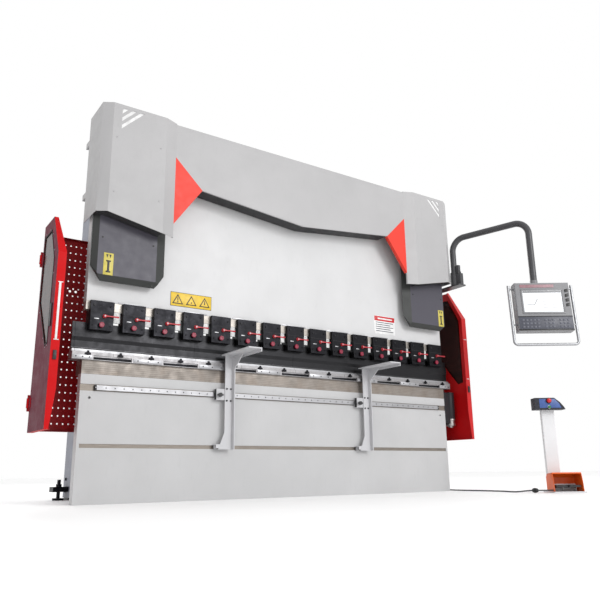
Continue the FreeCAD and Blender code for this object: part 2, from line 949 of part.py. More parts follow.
def arm_roller(x):
    """Guide roller on the arm's upright pin, rolling on the milled strip."""
    seat = arm_roller_place(x)
    low = seat - Vec(0, 0, roller_height / 2)
    high = seat + Vec(0, 0, roller_height / 2)
    reach = Vec(0, 0, 1)
    return bar(low, high, roller_radius).cut(bar(low - reach, high + reach, roller_pin_radius + running_gap))


def arm_knob(x):
    """Locking knob whose stem enters the slide block."""
    seat = arm_knob_place(x)
    stem = bar(seat + Vec(0, 8, 0), seat - Vec(0, 12, 0), arm_stem_radius)
    head = bar(seat - Vec(0, 10, 0), seat - Vec(0, 26, 0), arm_knob_radius)
    ear = box(seat.x - arm_knob_radius - 8, seat.x + arm_knob_radius + 8, seat.y - 24, seat.y - 14,
              seat.z - 5, seat.z + 5)
    return joined([stem, head, ear])


# ---------------------------------------------------------------- side guards
def grown(outline, amount):
    centre_y = sum(y for y, z in outline) / len(outline)
    centre_z = sum(z for y, z in outline) / len(outline)
    result = []
    for y, z in outline:
        result.append((y + math.copysign(amount, y - centre_y), z + math.copysign(amount, z - centre_z)))
    return result


def hinge_bar(low, high, radius):
    return bar(Vec(guard_hinge_x, guard_hinge_y, low), Vec(guard_hinge_x, guard_hinge_y, high), radius)


def guard_door():
    inner = guard_face - sheet
    outline = [
        (guard_back, guard_low),
        (guard_front, guard_low),
        (guard_front, guard_chamfer_z),
        (guard_chamfer_y, guard_high),
        (guard_back, guard_high),
    ]
    panel = prism_yz(outline, inner, guard_face).cut(prism_yz(window_outline, inner - 1, guard_face + 1))
    flange = prism_xz([
        (guard_face, guard_low),
        (guard_face - guard_flange / 2, guard_low),
        (guard_face - guard_flange, guard_low + 230),
        (guard_face - guard_flange, guard_chamfer_z),
        (guard_face, guard_chamfer_z),
    ], guard_front, guard_front + sheet)
    brow = prism_yz([
        (guard_front, guard_chamfer_z),
        (guard_chamfer_y, guard_high),
        (guard_chamfer_y + sheet, guard_high),
        (guard_front + sheet, guard_chamfer_z),
    ], guard_face - guard_flange, guard_face)
    taper = prism_xz([
        (guard_face - guard_flange - 1, guard_chamfer_z + 1),
        (guard_face - guard_flange / 2, guard_high + 1),
        (guard_face - guard_flange - 1, guard_high + 1),
    ], guard_front - 10, guard_back)
    sill = box(inner - 30, guard_face, guard_front, guard_back, guard_low, guard_low + sheet)
    pieces = [panel, flange, brow.cut(taper), sill]
    for z in guard_hinge_heights:
        sleeve = hinge_bar(z, z + guard_hinge_length, guard_sleeve_radius)
        leaf = box(inner, inner + 7, guard_back - 30, guard_hinge_y, z, z + guard_hinge_length)
        pieces.append(sleeve)
        pieces.append(leaf)
    door = joined(pieces)
    bores = []
    for z in guard_hinge_heights:
        bores.append(hinge_bar(z - 1, z + guard_hinge_length + 1, guard_pin_radius + running_gap))
    return cut(door, bores)


def guard_window():
    """Tinted sheet held on the inside of the guard door's opening."""
    inner = guard_face - sheet
    return prism_yz(grown(window_outline, window_lap), inner - window_thick, inner)


def guard_screen():
    panel = box(frame_outer, guard_face - 12, screen_y, screen_y + sheet, guard_low + 10, screen_top)
    holes = []
    first_x = frame_outer + 32
    first_z = guard_low + 60
    columns = int((guard_face - 12 - 25 - first_x) / hole_pitch_x) + 1
    rows = int((screen_top - 25 - first_z) / hole_pitch_z) + 1
    for column in range(columns):
        for row in range(rows):
            mouth = Vec(first_x + column * hole_pitch_x, screen_y - 1, first_z + row * hole_pitch_z)
            holes.append(bar(mouth, mouth + Vec(0, sheet + 2, 0), hole_radius))
    for x, z in window_hole_places:
        mouth = Vec(x, screen_y - 1, z)
        holes.append(bar(mouth, mouth + Vec(0, sheet + 2, 0), window_hole_radius))
    panel = cut(panel, holes)
    top_lip = box(frame_outer, guard_face - 40, screen_y - 25, screen_y, screen_top - sheet, screen_top)
    low_lip = box(frame_outer, guard_face - 40, screen_y - 25, screen_y, guard_low + 10, guard_low + 10 + sheet)
    pieces = [panel, top_lip, low_lip]
    for z in guard_hinge_heights:
        pin_low = z - 20
        pin_high = z + guard_hinge_length + 20
        pieces.append(hinge_bar(pin_low, pin_high, guard_pin_radius))
        for low, high in ((pin_low, z - hinge_gap), (z + guard_hinge_length + hinge_gap, pin_high)):
            pieces.append(box(guard_face - 20, guard_hinge_x + 5, screen_y, guard_hinge_y + 5, low, high))
    return joined(pieces)


# ---------------------------------------------------------------- pendant control
def pendant_bracket():
    top = bracket_z + bracket_thick
    shelf = joined([
        box(post_x - 42, post_x + 42, post_y - 84, 200, bracket_z, top),
        box(frame_outer, post_x + 42, jaw_front + 10, 200, bracket_z, top),
    ])
    socket = bar(Vec(post_x, post_y, top), Vec(post_x, post_y, top + socket_height), tube_radius + socket_wall)
    stop_low = box(post_x - 18, post_x + 18, post_y - 84, post_y - 30, top, top + socket_height)
    stop_high = box(post_x - 14, post_x + 14, post_y - 62, post_y - 34, top + socket_height,
                    top + socket_height + 80)
    bore = bar(Vec(post_x, post_y, top), Vec(post_x, post_y, top + socket_height + 1),
               tube_radius + running_gap)
    return joined([shelf, socket, stop_low, stop_high]).cut(bore)


def pendant_arm():
    foot = bracket_z + bracket_thick + 0.5
    points = [
        Vec(post_x, post_y, foot),
        Vec(post_x, post_y, arm_run_height),
        Vec(pendant_x, pendant_y, arm_run_height),
        Vec(pendant_x, pendant_y, pendant_top + 24),
    ]
    arm = tube(points, [tube_bend, tube_bend], tube_radius)
    spigot = bar(Vec(pendant_x, pendant_y, pendant_top - 30), Vec(pendant_x, pendant_y, pendant_top + 24),
                 spigot_radius)
    return joined([arm, spigot])


def to_pendant(shape):
    """From the case's own frame: origin at the top edge's middle, -Y to the operator."""
    leaning = shape.copy()
    leaning.rotate(ORIGIN, X_AXIS, -pendant_lean)
    return turned(leaning, pendant_x, pendant_y, pendant_top, pendant_turn)


def pendant_body():
    half = case_width / 2
    x0 = case_offset - half
    x1 = case_offset + half
    case_box = box(x0, x1, -case_depth / 2, case_depth / 2, -case_height, -12)
    case_box = rounded(case_box, 8, lambda edge: upright(edge))
    recess = box(screen_x0, screen_x0 + screen_width, -case_depth / 2 - 1, -case_depth / 2 + 6,
                 -screen_down - screen_height, -screen_down)
    step = box(x0 - 1, x1 + 1, -case_depth / 2 - 1, -case_depth / 2 + 3,
               -case_height + keypad_height - 4, -case_height + keypad_height)
    return to_pendant(cut(case_box, [recess, step]))


def pendant_case():
    """Case with the swivel boss that turns on the arm's spigot."""
    boss_low = pendant_top - 34
    boss = bar(Vec(pendant_x, pendant_y, boss_low), Vec(pendant_x, pendant_y, pendant_top + 22), 30)
    bore = bar(Vec(pendant_x, pendant_y, boss_low), Vec(pendant_x, pendant_y, pendant_top + 30),
               spigot_radius + running_gap)
    return joined([pendant_body(), boss]).cut(bore)


def pendant_screen():
    return to_pendant(box(screen_x0, screen_x0 + screen_width, -case_depth / 2 + 2, -case_depth / 2 + 6,
                          -screen_down - screen_height, -screen_down))


def pendant_handles():
    half = case_width / 2 + handle_gap + handle_radius
    low = -case_height - handle_drop
    points = [
        Vec(case_offset - half, 0, -20),
        Vec(case_offset - half, 0, low),
        Vec(case_offset + half, 0, low),
        Vec(case_offset + half, 0, -20),
    ]
    frame = tube(points, [30, 30], handle_radius)
    stays = []
    for side in (-1, 1):
        for z in (-50, -case_height + 60):
            face_x = case_offset + side * case_width / 2
            stays.append(bar(Vec(face_x, 0, z), Vec(face_x + side * (handle_gap + 4), 0, z), 7))
    return to_pendant(joined([frame] + stays))


# ---------------------------------------------------------------- foot stand
def to_stand(shape):
    """From the stand's own frame: origin at the front edge's middle, on the floor."""
    return turned(shape, stand_x, stand_y, 0, stand_turn)


def foot_switch_base():
    plate = box(base_left, base_right, 0, base_depth, 0, base_thick)
    bearing = box(-hood_width / 2 + 6, hood_width / 2 - 6, hood_depth - 20, hood_depth - 4, base_thick, 60)
    pins = bar(Vec(-hood_width / 2 + 8, pedal_axis_y, pedal_axis_z),
               Vec(hood_width / 2 - 8, pedal_axis_y, pedal_axis_z), pedal_pin_radius)
    ears = []
    for x in (-hood_width / 2 + 8, -3, hood_width / 2 - 14):
        ears.append(box(x, x + 6, hood_depth - 40, hood_depth - 20, base_thick, pedal_axis_z + 8))
    return to_stand(joined([plate, bearing, pins] + ears))


def foot_switch_hood():
    half = hood_width / 2
    outer = prism_yz([
        (8, base_thick),
        (18, base_thick + 0.55 * hood_height),
        (34, base_thick + hood_height),
        (hood_depth - 20, base_thick + hood_height - 8),
        (hood_depth, base_thick + hood_height - 34),
        (hood_depth, base_thick),
    ], -half, half)
    side = hood_sheet
    inner = prism_yz([
        (-10, base_thick - 1),
        (-10, base_thick + hood_height - 44),
        (40, base_thick + hood_height - side),
        (hood_depth - 22, base_thick + hood_height - 8 - side),
        (hood_depth - side, base_thick + hood_height - 34 - side),
        (hood_depth - side, base_thick - 1),
    ], -half + side, half - side)
    return to_stand(outer.cut(inner))


def pedal(side):
    x0 = pedal_gap / 2 if side > 0 else -pedal_gap / 2 - pedal_width
    x1 = x0 + pedal_width
    axis_y = pedal_axis_y
    axis_z = pedal_axis_z
    tread = box(x0, x1, axis_y - pedal_depth, axis_y - 4, axis_z - 4, axis_z - 4 + pedal_thick)
    sleeve = bar(Vec(x0, axis_y, axis_z), Vec(x1, axis_y, axis_z), pedal_sleeve_radius)
    bore = bar(Vec(x0 - 1, axis_y, axis_z), Vec(x1 + 1, axis_y, axis_z), pedal_pin_radius + running_gap)
    return to_stand(joined([tread, sleeve]).cut(bore))


def stand_column():
    half = column_width / 2
    back = hood_depth + 2
    post = box(column_x - half, column_x + half, back, back + column_depth, base_thick, column_top)
    post = rounded(post, 6, upright)
    return to_stand(post)


def console_outline():
    half = console_width / 2
    x = column_x + 7
    return [
        (x - half, 0),
        (x + half, 0),
        (x + half - 10, 20),
        (x + half - 38, 55),
        (x + half - 78, console_height),
        (x - half, console_height),
    ]


def console_button_places():
    x = column_x - 3
    return [Vec(x, console_face, estop_z), Vec(x, console_face, button_z)]


def stand_console():
    outline = [(x, z + column_top) for x, z in console_outline()]
    body = prism_xz(outline, console_face, console_back)
    holes = []
    for place in console_button_places():
        mouth = place - Vec(0, 1, 0)
        holes.append(bar(mouth, mouth + Vec(0, 21, 0), button_stem_radius + running_gap))
    return to_stand(cut(body, holes))


def push_button(place, head_radius, head_depth):
    """Mushroom head on a stem, standing 10 mm off the console so that it can be pushed."""
    stem = bar(place + Vec(0, 10, 0), place - Vec(0, 9, 0), button_stem_radius)
    head = bar(place - Vec(0, 9, 0), place - Vec(0, 9 + head_depth, 0), head_radius)
    return to_stand(joined([stem, head]))


# ---------------------------------------------------------------- electric cabinet
def electric_cabinet():
    shell = box(cabinet_x0, cabinet_x1, cabinet_y0, cabinet_y1, cabinet_z0, cabinet_z1)
    wall = cabinet_wall
    inside = box(cabinet_x0 + wall, cabinet_x1 + 1, cabinet_y0 + wall, cabinet_y1 - wall,
                 cabinet_z0 + wall, cabinet_z1 - wall)
    shell = shell.cut(inside)
    feet = []
    for z in (cabinet_z0 + 60, cabinet_z1 - 100):
        feet.append(box(frame_outer, cabinet_x0 + 1, cabinet_y1 - 300, cabinet_y1 - 100, z, z + 40))
    back_plate = box(cabinet_x0 + wall, cabinet_x0 + wall + 3, cabinet_y0 + 30, cabinet_y1 - 30,
                     cabinet_z0 + 40, cabinet_z1 - 40)
    drives = []
    for index in range(3):
        low = cabinet_z0 + 120 + index * 240
        drives.append(box(cabinet_x0 + wall + 3, cabinet_x0 + 150, cabinet_y0 + 80, cabinet_y1 - 120,
                          low, low + 160))
    pins = []
    for z in cabinet_hinge_heights:
        pins.append(bar(Vec(cabinet_hinge_x, cabinet_hinge_y, z - 15),
                        Vec(cabinet_hinge_x, cabinet_hinge_y, z + 55), cabinet_pin_radius))
        pins.append(box(cabinet_x1 - 14, cabinet_x1, cabinet_y1 - 1, cabinet_hinge_y + 5, z - 15, z - 1))
        pins.append(box(cabinet_x1 - 1, cabinet_hinge_x + 5, cabinet_y1 + 2, cabinet_hinge_y + 5,
                        z - 15, z - 1))
    return joined([shell] + feet + [back_plate] + drives + pins)


def cabinet_door():
    x0 = cabinet_x1 + door_gap
    panel = box(x0, x0 + 2, cabinet_y0, cabinet_y1, cabinet_z0, cabinet_z1)
    rim = box(x0 + 2, x0 + 16, cabinet_y0, cabinet_y1, cabinet_z0, cabinet_z1)
    rim = rim.cut(box(x0, x0 + 14, cabinet_y0 + 2, cabinet_y1 - 2, cabinet_z0 + 2, cabinet_z1 - 2))
    latch = box(x0 + 16, x0 + 34, cabinet_y0 + 30, cabinet_y0 + 52, (cabinet_z0 + cabinet_z1) / 2 - 60,
                (cabinet_z0 + cabinet_z1) / 2 + 60)
    pieces = [panel, rim, latch]
    bores = []
    for z in cabinet_hinge_heights:
        low = Vec(cabinet_hinge_x, cabinet_hinge_y, z)
        high = Vec(cabinet_hinge_x, cabinet_hinge_y, z + 40)
        pieces.append(bar(low, high, 8))
        pieces.append(box(x0 + 2, cabinet_hinge_x, cabinet_y1 - 6, cabinet_hinge_y, z, z + 40))
        bores.append(bar(low - Vec(0, 0, 1), high + Vec(0, 0, 1), cabinet_pin_radius + running_gap))
    return cut(joined(pieces), bores)


# ---------------------------------------------------------------- back gauge
def backgauge_rails():
    wide = channel_width / 2
    channel = box(gauge_x - wide, gauge_x + wide, bed_back, channel_back, gauge_z, gauge_z + channel_height)
    trough = box(gauge_x - wide + channel_wall, gauge_x + wide - channel_wall, bed_back + channel_end,
                 channel_back - channel_end, gauge_z + channel_wall, gauge_z + channel_height + 1)
    return both_sides(channel.cut(trough))


def backgauge_bearings():
    """Bearing blocks, rear belt cover and servo motor."""
    blocks = []
    for x in (-gauge_x, gauge_x):
        for y in (bed_back + channel_end, channel_back - channel_end - 30):
            block = box(x - 30, x + 30, y, y + 30, gauge_z + channel_wall, gauge_z + channel_height - 6)
            hole = bar(Vec(x, y - 1, screw_z), Vec(x, y + 31, screw_z), screw_radius + running_gap)
            blocks.append(block.cut(hole))
    cover = box(-gauge_x - 50, gauge_x + 50, channel_back, channel_back + 30, gauge_z + 16, gauge_z + 86)
    motor = box(-gauge_x + 90, -gauge_x + 170, channel_back - 180, channel_back, gauge_z + 10, gauge_z + 90)
    return Part.makeCompound(blocks + [cover, motor])


def backgauge_screw(x):
    end = channel_end + 2
    return bar(Vec(x, bed_back + end, screw_z), Vec(x, channel_back - end, screw_z), screw_radius)


def backgauge_beam():
    """Beam on two posts, each with a nut block round its ball screw."""
    front = gauge_beam_y
    back = gauge_beam_y + gauge_beam_depth
    low = gauge_z + channel_height + 0.5
    top = gauge_beam_z + gauge_beam_height
    pieces = [box(-gauge_beam_half, gauge_beam_half, front, back, gauge_beam_z, top)]
    bores = []
    for x in (-gauge_x, gauge_x):
        pieces.append(box(x - 60, x + 60, front - 20, back + 20, low, gauge_beam_z))
        pieces.append(box(x - 32, x + 32, front, back, screw_z - 24, low + 1))
        bores.append(bar(Vec(x, front - 30, screw_z), Vec(x, back + 30, screw_z), screw_radius + running_gap))
    pieces.append(box(20 - gauge_beam_half, gauge_beam_half - 20, front + 25, back - 25, top, top + 14))
    return cut(joined(pieces), bores)


def backgauge_finger(x):
    """Stop finger on a carriage that slides along the beam's rail."""
    front = gauge_beam_y
    back = gauge_beam_y + gauge_beam_depth
    gap = carriage_clear
    seat = gauge_beam_z + gauge_beam_height + gap
    carriage = box(x - 45, x + 45, front + 4, back - 4, seat, seat + 44)
    slot = box(x - 50, x + 50, front + 25 - gap, back - 25 + gap, seat - 1, seat + 14 + gap)
    stem = box(x - 20, x + 20, finger_tip_y, front + 20, seat + 14 + gap, seat + 42)
    tip = box(x - 35, x + 35, finger_tip_y, finger_tip_y + 40, seat + 20, seat + 42)
    return joined([carriage.cut(slot), stem, tip])


# ---------------------------------------------------------------- cable
def on_stand(x, y, z):
    """A point given in the stand's own frame."""
    angle = math.radians(stand_turn)
    return Vec(stand_x + x * math.cos(angle) - y * math.sin(angle),
               stand_y + x * math.sin(angle) + y * math.cos(angle), z)


cable_z = cable_radius + 0.5
cable_route = [
    Vec(frame_outer + 30, gland_y, gland_z),
    Vec(frame_outer + 105, gland_y - 3, gland_z - 8),
    Vec(frame_outer + 168, gland_y - 39, gland_z - 52),
    Vec(frame_outer + 212, gland_y - 110, gland_z - 81),
    Vec(half_bed + 33, 5, cable_z + 1),
    Vec(half_bed + 36, -140, cable_z),
    Vec(half_bed + 48, -290, cable_z),
    Vec(half_bed + 44, -440, cable_z),
    Vec(half_bed + 16, -580, cable_z),
    Vec(half_bed - 35, -680, cable_z),
    Vec(half_bed - 73, -766, cable_z + 1),
    Vec(half_bed - 52, -858, connector_radius),
    Vec(half_bed - 12, -925, connector_radius),
    on_stand(-hood_width / 2, 40, connector_radius),
]


def arc_radii(points):
    radii = []
    for index in range(1, len(points) - 1):
        before = points[index].sub(points[index - 1])
        after = points[index + 1].sub(points[index])
        shorter = min(before.Length, after.Length)
        radii.append(0.45 * shorter / math.tan(before.getAngle(after) / 2))
    return radii


def cable_gland():
    """Gland on the side frame, with the cable's end square to its mouth."""
    start = cable_route[0]
    along = cable_route[1].sub(start).normalize()
    nut = bar(Vec(frame_outer, start.y, start.z), Vec(frame_outer + 12, start.y, start.z), 16)
    mouth = bar(start - along * 24, start, 11)
    return joined([nut, mouth])


def cable_connector():
    """Round inline plug and socket that the cable runs through."""
    start = cable_route[-3]
    end = cable_route[-2]
    middle = (start + end) * 0.5
    half = end.sub(start).normalize() * (connector_length / 2)
    return bar(middle - half, middle + half, connector_radius - 1)


# ---------------------------------------------------------------- all nodes
parts["side_frames"] = both_sides(side_frame())
parts["bed_plate"] = bed_plate()
parts["frame_ties"] = frame_ties()
feet = levelling_feet()
parts["levelling_feet"] = Part.makeCompound(feet + [mirrored(piece) for piece in feet])
parts["arm_rail"] = arm_rail()
parts["bed_table"] = table()
parts["die_holder"] = die_holder()
parts["lower_die"] = lower_die()
parts["die_clamp_screws"] = die_clamp_screws()
parts["crowning_motor"] = crowning_motor()
parts["punch"] = punch()
parts["tool_clamps"] = tool_clamps()
parts["clamp_levers"] = clamp_levers()
parts["clamp_knobs"] = clamp_knobs()
parts["ram"] = ram()
guides = ram_guides()
parts["ram_guides"] = Part.makeCompound(guides + [mirrored(piece) for piece in guides])
parts["cylinders"] = both_sides(cylinder())
parts["piston_rods"] = both_sides(piston_rod())
parts["oil_tank"] = oil_tank()
parts["power_pack"] = power_pack()
parts["column_covers"] = both_sides(column_cover())
parts["beam_cover"] = beam_cover()
parts["accent_panels"] = accent_panels()
parts["ram_covers"] = both_sides(ram_cover())
for side, arm_x in (("left", arm_left_x), ("right", arm_right_x)):
    parts["support_arm_" + side] = support_arm(arm_x)
    parts["arm_roller_" + side] = arm_roller(arm_x)
    parts["arm_knob_" + side] = arm_knob(arm_x)
parts["guard_door_right"] = guard_door()
parts["guard_door_left"] = mirrored(guard_door())
parts["guard_window_right"] = guard_window()
parts["guard_window_left"] = mirrored(guard_window())
parts["guard_screens"] = both_sides(guard_screen())
parts["pendant_bracket"] = pendant_bracket()
parts["pendant_arm"] = pendant_arm()
parts["pendant_case"] = pendant_case()
parts["pendant_screen"] = pendant_screen()
parts["pendant_handles"] = pendant_handles()
parts["foot_switch_base"] = foot_switch_base()
parts["foot_switch_hood"] = foot_switch_hood()
parts["pedal_left"] = pedal(-1)
parts["pedal_right"] = pedal(1)
parts["stand_column"] = stand_column()
parts["stand_console"] = stand_console()
estop_place, button_place = console_button_places()
parts["console_estop"] = push_button(estop_place, 17, 14)
parts["console_button"] = push_button(button_place, 10, 6)
parts["electric_cabinet"] = electric_cabinet()
parts["cabinet_door"] = cabinet_door()
parts["backgauge_rails"] = backgauge_rails()
parts["backgauge_bearings"] = backgauge_bearings()
parts["backgauge_screw_left"] = backgauge_screw(-gauge_x)
parts["backgauge_screw_right"] = backgauge_screw(gauge_x)
parts["backgauge_beam"] = backgauge_beam()
parts["backgauge_finger_left"] = backgauge_finger(-finger_x)
parts["backgauge_finger_right"] = backgauge_finger(finger_x)
parts["cable_gland"] = cable_gland()
parts["stand_cable"] = tube(cable_route, arc_radii(cable_route), cable_radius)
parts["cable_connector"] = cable_connector()

os.makedirs("parts", exist_ok=True)
for name, shape in parts.items():
    shape.exportStep("parts/" + name + ".step")
radii = arc_radii(cable_route)
length = bend_path(cable_route, radii).Length
expected = length * math.pi * cable_radius ** 2
print("stand_cable length", round(length), "radii", [round(radius) for radius in radii],
      "volume ratio", round(parts["stand_cable"].Volume / expected, 4))
print(len(parts), "nodes")
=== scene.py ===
import json
import math

import bmesh
import bpy
from mathutils import Matrix, Vector


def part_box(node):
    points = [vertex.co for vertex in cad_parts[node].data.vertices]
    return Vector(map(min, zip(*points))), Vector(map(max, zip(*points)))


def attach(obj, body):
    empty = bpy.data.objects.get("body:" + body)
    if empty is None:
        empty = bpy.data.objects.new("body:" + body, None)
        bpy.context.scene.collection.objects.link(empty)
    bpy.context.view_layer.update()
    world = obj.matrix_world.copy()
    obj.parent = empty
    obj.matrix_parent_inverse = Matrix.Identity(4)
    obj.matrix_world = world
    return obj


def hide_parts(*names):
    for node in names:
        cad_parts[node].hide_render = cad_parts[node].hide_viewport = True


# Looks of a press brake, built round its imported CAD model. Metres, +Z up, +X to the operator's right.

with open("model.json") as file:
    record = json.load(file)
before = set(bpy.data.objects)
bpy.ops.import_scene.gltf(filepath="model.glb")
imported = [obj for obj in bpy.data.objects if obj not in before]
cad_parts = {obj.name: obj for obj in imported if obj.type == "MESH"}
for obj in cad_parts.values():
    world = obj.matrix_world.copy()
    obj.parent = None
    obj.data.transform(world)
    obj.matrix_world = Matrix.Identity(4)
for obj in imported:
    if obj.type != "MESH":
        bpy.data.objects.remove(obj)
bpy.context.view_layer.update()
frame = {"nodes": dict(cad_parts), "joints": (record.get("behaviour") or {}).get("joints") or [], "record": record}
nodes = frame["nodes"]


# ---- places taken from the frame
ram_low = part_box("ram")[0]
clamp_low, clamp_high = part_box("tool_clamps")
bed_low, bed_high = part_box("bed_plate")
rail_low, rail_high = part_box("arm_rail")
holder_low, holder_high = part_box("die_holder")
cover_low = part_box("column_covers")[0]
beam_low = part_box("beam_cover")[0]
ram_cover_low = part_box("ram_covers")[0]
tank_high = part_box("oil_tank")[1]
punch_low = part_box("punch")[0]

half_bed = bed_high.x
frame_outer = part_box("side_frames")[1].x
clamp_count = 15
clamp_width = 0.150
spacer_drop = 0.056
spacer_height = 0.069
clamp_pitch = (clamp_high.x - clamp_low.x - clamp_width) / (clamp_count - 1)
slot_count = 7
slot_pitch = 0.455
slot_length = 0.245
hole_pitch = 0.057
section_length = 0.8
operator_turn = math.radians(-34)
pendant_lean = math.radians(-4)


def joint_place(name):
    for joint in frame["joints"]:
        if joint["name"] == name:
            return Vector(joint["pos_m"])


turn_to_operator = Matrix.Rotation(operator_turn, 4, "Z")
pendant_place = (Matrix.Translation(joint_place("pendant_swivel")) @ turn_to_operator
                 @ Matrix.Rotation(pendant_lean, 4, "X"))
pedal_axis = Vector((0, 0.131, 0.042))
stand_foot = joint_place("pedal_left_press") - turn_to_operator @ pedal_axis
stand_place = Matrix.Translation(stand_foot) @ turn_to_operator


# ---- materials
studio_share = 0.72
tool_mark = 0.0009
fine_relief = 0.00012


def linear(red, green, blue):
    """Colour as seen in the studio's light, 0 to 255, as the linear reflectance a shader takes."""
    values = []
    for value in (red, green, blue):
        share = value / 255
        seen = share / 12.92 if share <= 0.04045 else ((share + 0.055) / 1.055) ** 2.4
        values.append(seen * studio_share)
    return (*values, 1.0)


class Shader:
    """A Principled material and short names for the nodes it is built from."""

    def __init__(self, name, roughness=0.45, metallic=0.0):
        self.material = bpy.data.materials.new(name)
        self.material.use_nodes = True
        self.tree = self.material.node_tree
        self.surface = self.tree.nodes["Principled BSDF"]
        self.surface.inputs["Metallic"].default_value = metallic
        self.surface.inputs["Roughness"].default_value = roughness
        self.place = self.node("ShaderNodeTexCoord").outputs["Object"]

    def node(self, kind):
        return self.tree.nodes.new(kind)

    def feed(self, socket, value):
        if isinstance(value, bpy.types.NodeSocket):
            self.tree.links.new(value, socket)
        else:
            socket.default_value = value

    def noise(self, size, detail=3.0, stretch=(1, 1, 1)):
        """Noise from 0 to 1 with marks about size metres across, longer where stretch is small."""
        mapping = self.node("ShaderNodeMapping")
        self.feed(mapping.inputs["Vector"], self.place)
        mapping.inputs["Scale"].default_value = stretch
        texture = self.node("ShaderNodeTexNoise")
        self.feed(texture.inputs["Vector"], mapping.outputs["Vector"])
        texture.inputs["Scale"].default_value = 1 / size
        texture.inputs["Detail"].default_value = detail
        return texture.outputs["Fac"]

    def spread(self, value, low, high, start=0.3, end=0.7):
        ranged = self.node("ShaderNodeMapRange")
        self.feed(ranged.inputs["Value"], value)
        ranged.inputs["From Min"].default_value = start
        ranged.inputs["From Max"].default_value = end
        ranged.inputs["To Min"].default_value = low
        ranged.inputs["To Max"].default_value = high
        return ranged.outputs["Result"]

    def calc(self, operation, first, second=0.0):
        maths = self.node("ShaderNodeMath")
        maths.operation = operation
        self.feed(maths.inputs[0], first)
        self.feed(maths.inputs[1], second)
        return maths.outputs["Value"]

    def mix(self, factor, first, second):
        blend = self.node("ShaderNodeMix")
        blend.data_type = "RGBA"
        self.feed(blend.inputs["Factor"], factor)
        self.feed(blend.inputs["A"], first)
        self.feed(blend.inputs["B"], second)
        return blend.outputs["Result"]

    def along(self, axis):
        split = self.node("ShaderNodeSeparateXYZ")
        self.feed(split.inputs["Vector"], self.place)
        return split.outputs[axis]

    def facing(self, axis):
        split = self.node("ShaderNodeSeparateXYZ")
        self.feed(split.inputs["Vector"], self.node("ShaderNodeTexCoord").outputs["Normal"])
        return split.outputs[axis]

    def between(self, value, low, high):
        """1 where the value is between low and high, else 0."""
        above = self.calc("GREATER_THAN", value, low)
        return self.calc("MULTIPLY", above, self.calc("LESS_THAN", value, high))

    def lines(self, axis, pitch, share):
        """1 on thin lines across an axis, one each pitch metres."""
        turns = self.calc("DIVIDE", self.along(axis), pitch)
        return self.calc("LESS_THAN", self.calc("FRACT", turns), share)

    def colour(self, value):
        self.feed(self.surface.inputs["Base Color"], value)

    def base(self):
        """What the base colour is fed from so far."""
        return self.surface.inputs["Base Color"].links[0].from_socket

    def rough(self, value):
        self.feed(self.surface.inputs["Roughness"], value)

    def bump(self, height, depth):
        """Raised by depth metres where height is 1."""
        relief = self.node("ShaderNodeBump")
        relief.inputs["Distance"].default_value = depth
        self.feed(relief.inputs["Height"], height)
        self.feed(self.surface.inputs["Normal"], relief.outputs["Normal"])


def shade(colour, factor):
    return (colour[0] * factor, colour[1] * factor, colour[2] * factor, 1.0)


def paint(name, rgb, roughness=0.42, coat=0.06, mottle=0.05, grain=0.0016, relief=0.00025, dust=0.0):
    """Sprayed paint: slow colour drift, fine orange peel, uneven gloss and dust on level faces."""
    look = Shader(name, roughness)
    base = linear(*rgb)
    drift = look.spread(look.noise(0.35, 4), 0, 1)
    tone = look.mix(drift, shade(base, 1 - mottle), shade(base, 1 + mottle * 0.6))
    scuff = look.spread(look.noise(0.02, 6, (1, 1, 0.25)), 0, 0.35, 0.58, 0.8)
    tone = look.mix(scuff, tone, shade(base, 0.88))
    if dust:
        level = look.calc("MULTIPLY", look.spread(look.facing("Z"), 0, 1, 0.6, 1.0), dust)
        tone = look.mix(look.calc("MULTIPLY", level, look.noise(0.03, 5)), tone, linear(150, 146, 140))
    look.colour(tone)
    look.rough(look.spread(look.noise(0.06, 4), roughness - 0.06, roughness + 0.08))
    look.bump(look.noise(grain, 2), relief)
    look.surface.inputs["Coat Weight"].default_value = coat
    look.surface.inputs["Coat Roughness"].default_value = 0.25
    look.surface.inputs["Specular IOR Level"].default_value = 0.3
    return look


def steel(name, rgb, roughness=0.32, along="X", tint=None):
    """Machined steel: tool marks along one axis, cloudy tint and a few dull patches."""
    look = Shader(name, roughness, 1.0)
    base = linear(*rgb)
    stretch = {"X": (0.012, 1, 1), "Y": (1, 0.012, 1), "Z": (1, 1, 0.012)}[along]
    marks = look.noise(tool_mark, 3, stretch)
    tone = look.mix(look.spread(marks, 0, 1), shade(base, 0.8), shade(base, 1.1))
    cloud = look.spread(look.noise(0.09, 5), 0, 1, 0.45, 0.75)
    tone = look.mix(look.calc("MULTIPLY", cloud, 0.5), tone, linear(*(tint or rgb)))
    look.colour(tone)
    look.rough(look.spread(look.noise(0.05, 5), roughness - 0.08, roughness + 0.14))
    look.bump(marks, fine_relief)
    return look


def moulded(name, rgb, roughness=0.5):
    """Moulded plastic: fine spark texture, slight sheen differences and faint flow marks."""
    look = Shader(name, roughness)
    base = linear(*rgb)
    flow = look.spread(look.noise(0.04, 3), 0, 1)
    look.colour(look.mix(flow, shade(base, 0.86), shade(base, 1.12)))
    look.rough(look.spread(look.noise(0.015, 4), roughness - 0.07, roughness + 0.08))
    look.bump(look.noise(0.0007, 2), fine_relief)
    return look


def ground(look, dark, light):
    """Bare steel with long, fine tool marks."""
    marks = look.noise(tool_mark, 3, (0.012, 1, 1))
    return look.mix(look.spread(marks, 0, 1), linear(*dark), linear(*light))


